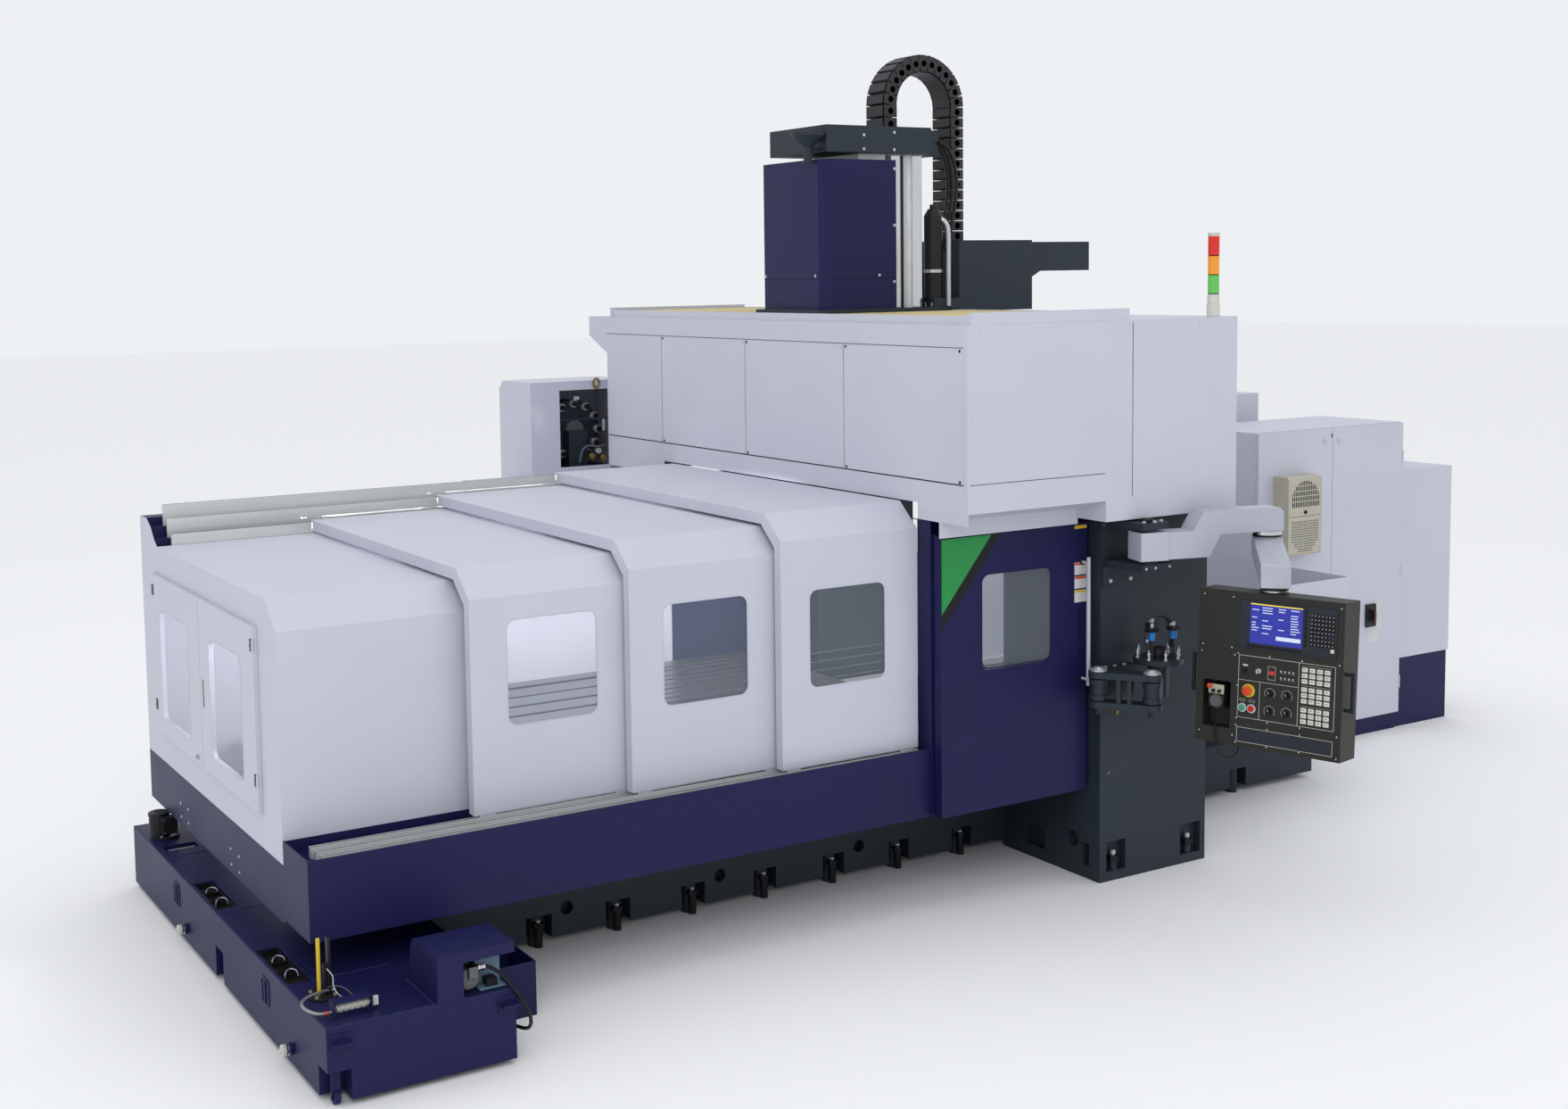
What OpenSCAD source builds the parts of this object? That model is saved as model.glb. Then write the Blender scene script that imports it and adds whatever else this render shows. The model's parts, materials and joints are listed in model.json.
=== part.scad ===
// Double column bridge mill: a travelling table on a long bed, two columns
// with a crossbeam, a head that moves across and up and down, and a guard
// of telescoping hoods. X runs along the bed, -Y is the operator's side.
// The origin is on the floor, in the middle of the bed, under the head.

/* [Table] */
// Table length along the bed
table_l = 3000; // [2600:50:3050]
// Table width
table_w = 1500; // [1200:20:1600]
// Height of the table's top face
table_top = 930; // [900:5:960]
// Distance between T-slots
slot_pitch = 200; // [180:5:210]

/* [Bed] */
// Half width of the bed at its feet
bed_half = 940; // [930:1:942]
// Height of the bed's guide faces
bed_top = 640; // [600:5:660]

/* [Columns and beam] */
// Outer face of each column, from the centre line
column_out = 1732; // [1650:2:1780]
// Underside of the crossbeam
beam_z0 = 2100; // [2080:5:2150]
// Top of the crossbeam
beam_z1 = 2900; // [2800:10:2950]
// Top of the beam's white cover
cover_top = 3040; // [3030:2:3050]

/* [Guard] */
// Height of the lower hood's roof
roof_z = 1913; // [1911:0.5:1915]
// Step in height from one hood to the next
roof_step = 71; // [70:0.5:71.5]
// Depth of the ring at a hood's front end
hood_ring = 56; // [50:1:58]
// Thickness of the guard's sheet
sheet = 5; // [3:0.5:6]

/* [Head] */
// Width of the square ram
ram_w = 450; // [420:5:450]
// Middle of the head at rest, from the centre line
head_y = -165; // [-166:0.5:-164]
// Top of the head's blue cover
head_top = 3940; // [3920:2:3960]

/* [Pendant] */
// Width of the control panel
panel_w = 770; // [740:5:790]
// Height of the control panel
panel_h = 792; // [760:4:800]

/* [Cabinets] */
// Height of the main electrical cabinet
cabinet_top = 2200; // [2100:10:2260]
// Height of the lower cabinet beside it
cabinet_low = 1850; // [1700:10:1900]

/* [Hidden] */
$fn = 48;
// Clearance between a guide and what slides on it
fit = 0.3;
bed_x0 = -3250;
bed_x1 = 3150;
rail_h = 40;
rail_w = 45;
rail_y = bed_half - 320;
// Half widths of the bed above its feet and at its guide lands
bed_mid = bed_half - 90;
land_out = bed_half - 180;
land_in = bed_half - 540;
slots = floor((table_w / 2 - 60) / slot_pitch);
table_x1 = -100;
table_x0 = table_x1 - table_l;
table_t = 200;
foot_z = 40;
col_x0 = 577;
col_x1 = 1363;
col_in = bed_half + fit;
beam_x0 = 600;
beam_rail_t = 30;
beam_rail_z = [beam_z0 + 160, beam_z1 - 160];
box_x0 = -458;
box_x1 = 1401;
box_y = 1900;
box_t = 6;
over_y = 2156;
slot_x0 = -400;
slot_x1 = 585;
slot_y = 1850;
// The ram's guide face stays in front of the beam
ram_x1 = 430;
ram_x0 = ram_x1 - ram_w;
ram_y0 = head_y - ram_w / 2;
ram_y1 = head_y + ram_w / 2;
end_x = -3748;
portal_x = -440;
// Hood k: front end, back end, side plane, far edge of the roof
hood_x0 = [end_x, -2890, -2107, -1303];
hood_x1 = [-2830, -2047, -1243, -468];
hood_y = [1231, 1356, 1430, 1504];
hood_far = [820, 845, 930, 1009];
hood_z0 = 856;
cham_y = 143;
cham_z = 128;
trough_y = 1572;
trough_z = 790;
guard_z0 = 500;
wall_y0 = 1111;
wall_y1 = 1151;
win_z = [1252, 1743];
// Height of the far ledge's steps
ledge_z = [1895, 1895, 1945, 2000];
near_rail_z = 846;
// Panel plane: top left corner, turn about Z and tilt back
pan_x = 857;
pan_y = -column_out - 440;
pan_z = 1652;
pan_turn = -72.6;
pan_tilt = 3.5;
// Cabinets: left side, joint, right end, front and back of the row
cab_x0 = 3190;
cab_seam = 3913;
cab_x1 = 4640;
cab_x2 = 5220;
cab_y0 = -405;
cab_y1 = 300;
cab_t = 25;
plinth = 120;
// Windows of the hoods: X from and to
hood_win = [[0, 0], [-2706, -2246], [-1925, -1453], [-1134, -675]];
// End doors: each leaf's near and far edge, window heights, windows
leaf_near = [-961, -52];
leaf_far = [-47, 866];
leaf_win_z = [1010, 1595];
near_win = [-750, -225];
far_win = [165, 712];
// Tank under the guard's end
tank_x0 = -3862;
tank_x1 = -3035;
tank_y0 = -2089;
tank_z = 337;
// Hatches in the tank's top: X from and to, Y from and to
hatches = [
  [-3844, -3743, -1550, -1093], [-3844, -3743, -473, -38], [-3820, -3650, 560, 650]
];
// Pivots of the pendant arms, seen from above, out from the column's face
arm_p = [690, -column_out - 218];
arm_q = [1380, -column_out - 408];
neck_p = [1050, -column_out - 759];
// Height of the arm's low and high stretches
arm_low = [1788, 1930];
arm_high = [1906, 2030];
// Pivots of the swing link and centre of its carrier
link_p = [500, -column_out - 68];
link_q = [670, -column_out - 288];
tray_p = [820, -column_out - 180];
// Heights of the link's two plates
link_z = [995, 1030, 1155, 1190];
// Routes of the tank's hose, the conveyor's cable and, in the panel's own
// frame, the hand wheel's cord
hose_path = [
  [-3704, -1752, 356], [-3728, -1752, 356], [-3749, -1765, 364], [-3768, -1780, 369],
  [-3787, -1795, 374], [-3806, -1809, 378], [-3827, -1822, 381], [-3847, -1836, 383],
  [-3866, -1851, 384], [-3882, -1870, 385], [-3893, -1891, 385], [-3900, -1914, 384],
  [-3899, -1938, 381], [-3889, -1960, 376], [-3872, -1975, 369], [-3850, -1983, 363],
  [-3825, -1984, 360], [-3801, -1984, 360]
];
cable_path = [
  [-3178, -2049, 435], [-3149, -2049, 435], [-3123, -2059, 423], [-3102, -2072, 407],
  [-3085, -2084, 387], [-3069, -2095, 365], [-3054, -2104, 341], [-3039, -2110, 317],
  [-3024, -2113, 291], [-3009, -2113, 266], [-2995, -2111, 241], [-2983, -2105, 215],
  [-2972, -2096, 189], [-2964, -2082, 165], [-2958, -2063, 143], [-2955, -2041, 124],
  [-2954, -2016, 110], [-2957, -1988, 101], [-2965, -1960, 98], [-2982, -1937, 102],
  [-3006, -1918, 110], [-3035, -1918, 110]
];
wheel_path = [
  [122, 610, -4], [122, 634, -4], [122, 657, 4], [121, 679, 11], [119, 703, 16],
  [118, 726, 18], [118, 750, 17], [119, 774, 15], [121, 797, 10], [124, 819, 3],
  [130, 839, -8], [139, 856, -23], [151, 868, -39], [165, 873, -58], [179, 867, -76],
  [189, 852, -91], [196, 830, -98], [196, 806, -98]
];

// Box from its least to its greatest coordinates
module bx(x, y, z) {
  translate([x[0], y[0], z[0]])
    cube([x[1] - x[0], y[1] - y[0], z[1] - z[0]]);
}
// A section drawn in Y and Z, run along X
module along_x(x0, x1) {
  translate([x0, 0, 0])
    rotate([90, 0, 90])
      linear_extrude(x1 - x0) children();
}
// A section drawn in X and Z, run along Y
module along_y(y0, y1) {
  translate([0, y1, 0])
    rotate([90, 0, 0])
      linear_extrude(y1 - y0) children();
}
// Flat shape with rounded corners, drawn from its corner
module rounded(w, h, r) {
  translate([r, 0]) square([w - 2 * r, h]);
  translate([0, r]) square([w, h - 2 * r]);
  for (i = [r, w - r], j = [r, h - r])
    translate([i, j]) circle(r);
}
// Rounded block through a wall that faces Y
module port_y(x, y, z, r) {
  translate([x[0], y[1], z[0]])
    rotate([90, 0, 0])
      linear_extrude(y[1] - y[0]) rounded(x[1] - x[0], z[1] - z[0], r);
}
// Rounded block through a wall that faces X
module port_x(x, y, z, r) {
  translate([x[0], y[0], z[0]])
    rotate([90, 0, 90])
      linear_extrude(x[1] - x[0]) rounded(y[1] - y[0], z[1] - z[0], r);
}
// Upright rod
module rod(p, d, z0, z1) {
  translate([p[0], p[1], z0]) cylinder(d = d, h = z1 - z0);
}

// Bed casting with stepped sides, guide lands and levelling pockets
module bed() {
  color([0.20, 0.24, 0.27]) {
    difference() {
      along_x(bed_x0, bed_x1)
        polygon([
          [-bed_half, foot_z], [bed_half, foot_z], [bed_half, 330],
          [bed_mid, 455], [bed_mid, 520], [land_out, 520], [land_out, bed_top],
          [land_in, bed_top], [land_in, 560], [-land_in, 560], [-land_in, bed_top],
          [-land_out, bed_top], [-land_out, 520], [-bed_mid, 520], [-bed_mid, 455],
          [-bed_half, 330]
        ]);
      for (x = [-2826:442:2500])
        for (s = [-1, 1])
          bx([x - 70, x + 70], [s * (bed_half - 40) - 45, s * (bed_half - 40) + 45],
             [foot_z - 1, 160]);
      for (x = [-2230, -1338, -446])
        for (s = [-1, 1])
          translate([x, s * (bed_half + 1), 175])
            rotate([s * 90, 0, 0]) cylinder(d = 70, h = 60);
      bx([bed_x0 - 1, bed_x1 + 1], [-300, 300], [150, 430]);
      for (s = [-1, 1])
        bx([bed_x0 + 60, bed_x1 - 60], [s * (bed_half - 360) - 180, s * (bed_half - 360) + 180],
           [-1, 480]);
    }
    for (x = [-2826:442:2500])
      for (s = [-1, 1])
        rod([x, s * (bed_half - 55)], 70, 0, 170);
    for (x = [-2826, -1413, 0, 1413, 2826])
      rod([x, 0], 160, 0, foot_z + 10);
  }
}
// Hardened rails: two on the bed and two on the beam's front face
module guide_rails() {
  color([0.62, 0.63, 0.65]) {
    for (s = [-1, 1])
      bx([bed_x0 + 30, bed_x1 - 30],
         [s * rail_y - rail_w / 2, s * rail_y + rail_w / 2],
         [bed_top, bed_top + rail_h]);
    for (z = beam_rail_z)
      bx([beam_x0 - beam_rail_t, beam_x0], [-column_out + 92, column_out - 92],
         [z - 22, z + 22]);
  }
}
// Table with T-slots and the trucks that run on the rails
module table() {
  color([0.55, 0.57, 0.59]) {
    difference() {
      bx([table_x0, table_x1], [-table_w / 2, table_w / 2],
         [table_top - table_t, table_top]);
      for (i = [-slots:slots])
        translate([0, i * slot_pitch, 0]) {
          bx([table_x0 - 1, table_x1 + 1], [-14, 14], [table_top - 30, table_top + 1]);
          bx([table_x0 - 1, table_x1 + 1], [-23, 23], [table_top - 50, table_top - 29]);
        }
    }
    for (x = [table_x0 + 60, table_x0 + table_l / 2 - 120, table_x1 - 300])
      for (s = [-1, 1])
        difference() {
          bx([x, x + 240], [s * rail_y - 60, s * rail_y + 60],
             [bed_top + 10, table_top - table_t + 1]);
          bx([x - 1, x + 241],
             [s * rail_y - rail_w / 2 - fit, s * rail_y + rail_w / 2 + fit],
             [bed_top, bed_top + rail_h + fit]);
        }
  }
}
// Column: hollow casting with levelling pockets and a lifting hole
module column(s) {
  difference() {
    bx([col_x0, col_x1], [-column_out, -col_in], [0, beam_z0 - fit]);
    bx([col_x0 + 70, col_x1 - 70], [-column_out + 70, -col_in - 70], [-1, beam_z0 - 80]);
    bx([626, 764], [-column_out - 1, -column_out + 45], [52, 218]);
    bx([1173, 1326], [-column_out - 1, -column_out + 45], [50, 222]);
    bx([col_x0 - 1, col_x0 + 45], [-1289, -1116], [70, 192]);
    bx([col_x0 - 1, col_x0 + 45], [-1650, -1600], [70, 192]);
    translate([col_x0 - 1, -1522, 197]) rotate([0, 90, 0]) cylinder(d = 90, h = 50);
    translate([1008, -column_out + 20, 1306]) rotate([90, 0, 0]) cylinder(d = 210, h = 30);
  }
  // Round cover plate in its bore
  translate([1008, -column_out + 22, 1306]) rotate([90, 0, 0]) cylinder(d = 206, h = 12);
  translate([1008, -column_out + 75, 1306]) rotate([90, 0, 0]) cylinder(d = 60, h = 60);
  rod([695, -column_out + 25], 40, 0, 120);
  rod([1250, -column_out + 25], 40, 0, 120);
}
module column_near() {
  color([0.22, 0.26, 0.29]) column(1);
}
module column_far() {
  color([0.22, 0.26, 0.29]) mirror([0, 1, 0]) column(1);
}
// Crossbeam casting between the columns
module crossbeam() {
  color([0.24, 0.28, 0.31])
    difference() {
      bx([beam_x0, col_x1], [-column_out, column_out], [beam_z0, beam_z1]);
      bx([beam_x0 + 80, col_x1 - 80], [-column_out - 1, column_out + 1],
         [beam_z0 + 80, beam_z1 - 80]);
    }
}
// White sheet cover round the beam
module beam_cover() {
  color([0.82, 0.83, 0.87]) {
    difference() {
      union() {
        bx([box_x0, box_x0 + box_t], [-box_y, box_y], [2045, cover_top]);
        bx([box_x1 - box_t, box_x1], [-box_y, box_y], [1995, cover_top]);
        bx([box_x0, box_x1], [-box_y, over_y], [cover_top - box_t, cover_top]);
        along_x(box_x0, 462)
          polygon([
            [-1900, cover_top], [-1900, 2105], [-1680, 2045], [-1680, 1962],
            [-1674, 1962], [-1674, 2050], [-1894, 2110], [-1894, cover_top]
          ]);
        bx([456, 462], [-box_y, -1674], [1995, 2110]);
        bx([456, box_x1], [-box_y, -box_y + box_t], [1995, cover_top]);
        bx([456, box_x1], [-box_y, -column_out], [1995, 1995 + box_t]);
        bx([462, col_x0], [-box_y, -1674], [1995, 1995 + box_t]);
        bx([box_x0, box_x1], [box_y - box_t, box_y], [1995, 2810]);
        bx([456, box_x1], [column_out, box_y], [1995, 1995 + box_t]);
        along_x(box_x0, box_x1)
          polygon([
            [1894, 2800], [1900, 2797], [2156, 2912], [2156, cover_top],
            [2150, cover_top], [2150, 2916], [1894, 2803]
          ]);
        // End caps of the overhang
        for (x = [box_x0, box_x1 - box_t])
          along_x(x, x + box_t)
            polygon([
              [1890, 2797], [1900, 2797], [2156, 2912],
              [2156, cover_top], [1890, cover_top]
            ]);
        // Ledges that sit on the columns and the beam
        bx([col_x1, box_x1], [-1500, -1440], [2300, 2360]);
        bx([col_x1, box_x1], [1440, 1500], [2300, 2360]);
        bx([col_x0, col_x1], [-box_y, -column_out], [2200, 2206]);
        bx([col_x0, col_x1], [column_out, box_y], [2200, 2206]);
      }
      // Way through for the hoods' end of the work space
      bx([box_x0 - 1, box_x0 + box_t + 1], [-1500, 1151], [2000, 2131]);
      // Long slot that the head runs in
      bx([slot_x0, slot_x1], [-slot_y, slot_y], [cover_top - box_t - 1, cover_top + 1]);
    }
    // End blocks and side strips that hold the slat covers
    for (s = [-1, 1])
      bx([slot_x0 - 30, slot_x1 + 30], [s * (slot_y + 34) - 14, s * (slot_y + 34) + 14],
         [cover_top, cover_top + 60]);
    for (x = [slot_x0 - 24, slot_x1 + 4])
      bx([x, x + 20], [-slot_y - 20, slot_y + 20], [cover_top, cover_top + 44]);
  }
}
// Pleated slat cover: a zigzag sheet with slats on its folds
module slats(y0, y1, n) {
  p = (y1 - y0) / n;
  z = cover_top + 6;
  along_x(slot_x0 + 6, slot_x1 - 6)
    polygon(concat(
      [for (i = [0:2 * n]) [y0 + i * p / 2, z + (i % 2 == 0 ? 0 : 34)]],
      [for (i = [2 * n:-1:0]) [y0 + i * p / 2, z + (i % 2 == 0 ? 4 : 38)]]
    ));
}
module slat_cover_near() {
  color([0.86, 0.78, 0.48]) slats(-slot_y - 20, head_y - 350 - fit, 21);
}
module slat_cover_far() {
  color([0.86, 0.78, 0.48]) slats(head_y + 298 + fit, slot_y + 20, 27);
}

// Section of a hood: near side, chamfer and roof
module hood_line(k, d, z0) {
  y = hood_y[k] - d;
  z = roof_z + k * roof_step - d;
  q = 0.414 * d;
  f = hood_far[k] - (d > sheet ? 32 : 0);
  polygon([
    [-y, z0], [-y, z - cham_z + q], [-y + cham_y - q, z],
    [f, z], [f, z0]
  ]);
}
module hood_skin(k) {
  difference() {
    hood_line(k, 0, hood_z0);
    hood_line(k, sheet, hood_z0 - 1);
    translate([hood_far[k] - sheet - 1, hood_z0 - 1])
      square([sheet + 2, roof_z + k * roof_step - sheet - hood_z0 + 1]);
  }
}
module hood_band(k) {
  difference() {
    hood_line(k, 0, hood_z0);
    hood_line(k, hood_ring, hood_z0 - 1);
    translate([hood_far[k] - 32, hood_z0 - 1]) square([40, 2000]);
  }
}
module hood(k, win) {
  y = hood_y[k];
  z = roof_z + k * roof_step;
  difference() {
    union() {
      along_x(hood_x0[k], hood_x1[k]) hood_skin(k);
      along_x(hood_x0[k], hood_x0[k] + sheet) hood_band(k);
    }
    port_y(win, [-y - 1, -y + sheet + 1], win_z, 45);
  }
  // Shoes on the near rail and on the far riser
  for (x = [hood_x0[k] + 30, hood_x1[k] - 110]) {
    bx([x, x + 80], [-y + sheet - 1, -y + 24], [near_rail_z + fit, 900]);
    bx([x, x + 80], [hood_far[k] - 18, hood_far[k] - 2], [far_rail_z(k) + fit, z - sheet + 1]);
  }
}
function far_rail_z(k) = roof_z + k * roof_step - sheet - 7;

module hood_1() {
  color([0.78, 0.79, 0.84]) hood(1, hood_win[1]);
}
module hood_2() {
  color([0.78, 0.79, 0.84]) hood(2, hood_win[2]);
}
module hood_3() {
  color([0.78, 0.79, 0.84]) hood(3, hood_win[3]);
}
module pane_y(x, y, z, r) {
  port_y([x[0] - 25, x[1] + 25], [y, y + 6], [z[0] - 25, z[1] + 25], r + 20);
}
module hood_1_pane() {
  color([0.75, 0.82, 0.85, 0.5]) pane_y(hood_win[1], -hood_y[1] + sheet, win_z, 45);
}
module hood_2_pane() {
  color([0.75, 0.82, 0.85, 0.5]) pane_y(hood_win[2], -hood_y[2] + sheet, win_z, 45);
}
module hood_3_pane() {
  color([0.75, 0.82, 0.85, 0.5]) pane_y(hood_win[3], -hood_y[3] + sheet, win_z, 45);
}
// Steel rails for the hoods, in the near trough and on the far ledge
module hood_rails() {
  color([0.66, 0.67, 0.69]) {
    for (k = [1:3])
      bx([end_x + 85, portal_x - 30], [-hood_y[k] - 2, -hood_y[k] + 26],
         [trough_z + sheet, near_rail_z]);
    for (k = [1:3])
      bx([end_x + 85, portal_x - 30], [hood_far[k] - 20, hood_far[k] - 2],
         [ledge_z[k], far_rail_z(k)]);
    bx([end_x + sheet, hood_x1[0]], [785, 810], [ledge_z[1], roof_z - sheet]);
  }
}
// Blue trough outside the hoods, with its outer skirt
module guard_trough() {
  color([0.17, 0.18, 0.34]) {
    along_x(end_x + sheet, portal_x)
      polygon([
        [-trough_y, guard_z0], [-trough_y, 859], [-trough_y + sheet, 859],
        [-trough_y + sheet, trough_z + sheet], [-hood_y[0], trough_z + sheet],
        [-hood_y[0], hood_z0], [-hood_y[0] + sheet, hood_z0],
        [-hood_y[0] + sheet, guard_z0], [-hood_y[0], guard_z0],
        [-hood_y[0], trough_z], [-trough_y + sheet, trough_z],
        [-trough_y + sheet, guard_z0]
      ]);
    bx([end_x, end_x + sheet], [-trough_y, -hood_y[0] - 2], [guard_z0, 859]);
    // Band across the machine's end, under the end wall
    bx([end_x, end_x + sheet], [-hood_y[0] - 2, wall_y1], [480, 749 - fit]);
    bx([end_x, end_x + 60], [-hood_y[0] + 20, wall_y1 - 20], [480, 485]);
    chip_pan();
  }
}
// Sheet that closes the gap from the guard to the bed on both sides
module chip_pan() {
  bx([end_x + sheet - 1, col_x0 - 10], [-hood_y[0] + sheet - 1, -bed_mid],
     [guard_z0, guard_z0 + sheet]);
  bx([end_x + sheet - 1, col_x0 - 10], [bed_mid, wall_y0], [guard_z0, guard_z0 + sheet]);
  difference() {
    bx([end_x + sheet - 1, bed_x0], [-bed_mid, bed_mid], [guard_z0, guard_z0 + sheet]);
    bx([-3600, -3400], [-600, 600], [guard_z0 - 1, guard_z0 + sheet + 1]);
  }
  bx([bed_x0 - sheet, bed_x0], [-bed_mid, bed_mid], [430, guard_z0 + 1]);
}
// Far guard wall
module far_wall() {
  color([0.80, 0.81, 0.85]) {
    bx([end_x + sheet, portal_x], [wall_y0, wall_y1], [guard_z0, 1850]);
    for (x = [-3400, -2400, -1400, -700])
      bx([x, x + 60], [wall_y1, wall_y1 + 50], [0, 1850]);
  }
}
// Stepped blue ledge that carries the far rails
module far_ledge() {
  color([0.17, 0.18, 0.34])
    along_x(end_x + sheet, portal_x)
      polygon([
        [780, 1850], [wall_y1, 1850], [wall_y1, 2045], [1035, 2045],
        [1035, ledge_z[3]], [955, ledge_z[3]], [955, ledge_z[2]], [870, ledge_z[2]],
        [870, ledge_z[1]], [780, ledge_z[1]]
      ]);
}
// End wall with the doorway, and the fixed hood behind it
module end_panel() {
  color([0.82, 0.83, 0.87]) {
    along_x(end_x + sheet - 1, hood_x1[0]) hood_skin(0);
    difference() {
      along_x(end_x, end_x + sheet)
        polygon([
          [-hood_y[0], 749], [-hood_y[0], roof_z - cham_z],
          [-hood_y[0] + cham_y, roof_z], [hood_far[0], roof_z],
          [870, 1940], [950, 2010], [1030, 2045], [wall_y1, 2045], [wall_y1, 749]
        ]);
      bx([end_x - 1, end_x + sheet + 1], [-925, 836], [945, 1739]);
    }
  }
}
// One leaf of the end doors, with a window port and two hinge barrels
module leaf(y, win, hinge) {
  difference() {
    bx([end_x - 22, end_x - fit], y, [915, 1769]);
    port_x([end_x - 30, end_x + 1], win, leaf_win_z, 45);
  }
  for (z = [1035, 1655])
    rod([end_x - 22, hinge], 12, z, z + 56);
}
module leaf_pane(win) {
  port_x([end_x - 14, end_x - 8], [win[0] + fit, win[1] - fit],
         [leaf_win_z[0] + fit, leaf_win_z[1] - fit], 45);
}
module end_door_near() {
  color([0.80, 0.81, 0.86]) leaf(leaf_near, near_win, leaf_near[0]);
}
module end_door_far() {
  color([0.80, 0.81, 0.86]) leaf(leaf_far, far_win, leaf_far[1]);
}
module end_near_pane() {
  color([0.75, 0.82, 0.85, 0.5]) leaf_pane(near_win);
}
module end_far_pane() {
  color([0.75, 0.82, 0.85, 0.5]) leaf_pane(far_win);
}
// Blue portal between the last hood and the operator's door
module door_portal() {
  color([0.17, 0.18, 0.34]) {
    difference() {
      bx([portal_x, portal_x + sheet], [-1580, -900], [guard_z0, 2040]);
      bx([portal_x - 1, portal_x + sheet + 1], [-1470, -890], [guard_z0 - 1, 2036]);
    }
    bx([portal_x, portal_x + 40], [-1580, -1574], [guard_z0, 1962]);
    bx([portal_x, col_x0], [-1580, -1540], [guard_z0, 560]);
    bx([col_x0 - 40, col_x0], [-1580, -1540], [guard_z0, 1962]);
    bx([portal_x, col_x0], [-1674, -1540], [1962, 1968]);
    bx([portal_x, col_x0], [-1546, -1540], [1962, 2044]);
    bx([portal_x, col_x0 - 10], [-1540, -hood_y[0] + sheet - 1],
       [guard_z0, guard_z0 + sheet]);
    bx([portal_x, col_x0], [wall_y0, wall_y1], [guard_z0, 2040]);
  }
}
// Sliding door: front sheet with returned edges
module operator_door() {
  color([0.16, 0.17, 0.33]) {
    difference() {
      bx([-428, 557], [-1649, -1590], [505, 1957]);
      bx([-424, 553], [-1645, -1589], [509, 1953]);
      port_y([-162, 302], [-1650, -1640], [1242, 1743], 45);
    }
    // Hanger and foot that run in the portal
    bx([-400, 530], [-1590, -1586], [1900, 1957]);
    bx([-400, 530], [-1590, -1586], [505, 560]);
    bx([-380, -300], [-1612, -1600], [1950, 1962 - fit]);
    bx([430, 510], [-1612, -1600], [1950, 1962 - fit]);
  }
}
module door_pane() {
  color([0.75, 0.82, 0.85, 0.5]) pane_y([-162, 302], -1645, [1242, 1743], 45);
}
module door_handle() {
  color([0.70, 0.71, 0.73]) {
    translate([521, -1700, 1085]) cylinder(d = 22, h = 700);
    for (z = [1120, 1750])
      translate([521, -1649, z]) rotate([90, 0, 0]) cylinder(d = 16, h = 51);
  }
}
// Low guard round the rear half of the bed
module rear_guard() {
  color([0.78, 0.79, 0.84])
    difference() {
      bx([col_x1 + 10, 3150], [-1215, 1215], [guard_z0 - 20, 1350]);
      bx([col_x1 - 10, 3145], [-1210, 1210], [guard_z0 - 15, 1400]);
      bx([col_x1 - 10, 3151], [-bed_mid, bed_mid], [guard_z0 - 30, guard_z0 + 141]);
    }
}
// Carriage on the beam: front plate, collar round the head and neck
module saddle() {
  y0 = head_y - 450;
  y1 = head_y + 450;
  color([0.24, 0.27, 0.32]) {
    bx([ram_x1 + 30, beam_x0 - 40], [y0, y1], [beam_z0 + 60, 3000]);
    // Guide pads on the ram
    for (s = [-1, 1])
      bx([ram_x1 + fit, ram_x1 + 31], [head_y + s * 130 - 40, head_y + s * 130 + 40],
         [beam_z0 + 120, 2960]);
    // Trucks on the beam's rails
    for (z = beam_rail_z)
      for (y = [y0 + 30, y1 - 230])
        difference() {
          bx([beam_x0 - 41, beam_x0 - 8], [y, y + 200], [z - 60, z + 60]);
          bx([beam_x0 - beam_rail_t - fit, beam_x0 + 1], [y - 1, y + 201],
             [z - 22 - fit, z + 22 + fit]);
        }
    // Collar that fills the slot round the head
    difference() {
      bx([slot_x0 + 10, ram_x1 + 31], [head_y - 350, head_y + 298], [2990, 3102]);
      bx([-350, ram_x1 + 20], [head_y - 343, head_y + 291], [2980, 3110]);
    }
    // Neck up to the chain box
    bx([ram_x1 + 30, beam_x0 - 40], [head_y - 300, head_y + 270], [2999, 3150]);
    bx([ram_x1 + 30, 645], [head_y - 300, head_y + 270], [3090, 3150]);
  }
}
// Chain box on the saddle and its arm over the back of the beam
module chain_box() {
  color([0.24, 0.27, 0.32]) {
    bx([645, 1200], [head_y - 300, head_y + 270], [3072, 3486]);
    along_y(head_y - 120, head_y + 120)
      polygon([
        [1199, 3300], [1200, 3478], [1820, 3478], [1820, 3300],
        [1700, 3300], [1420, 3300], [1199, 3180]
      ]);
  }
}
// Black accumulator beside the ram
module accumulator() {
  color([0.10, 0.10, 0.11]) {
    translate([500, -405, 3150]) cylinder(d = 108, h = 480);
    translate([500, -405, 3630]) cylinder(d1 = 108, d2 = 60, h = 40);
    translate([500, -405, 3670]) cylinder(d = 40, h = 25);
  }
}
// Square ram with its spindle nose
module ram() {
  color([0.60, 0.61, 0.63]) {
    bx([ram_x0, ram_x1], [ram_y0, ram_y1], [2230, 3980]);
    rod([ram_x0 + ram_w / 2, head_y], 280, 2150, 2231);
    difference() {
      rod([ram_x0 + ram_w / 2, head_y], 128, 2060, 2151);
      translate([ram_x0 + ram_w / 2, head_y, 2059]) cylinder(d1 = 70, d2 = 40, h = 80);
    }
  }
}
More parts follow.
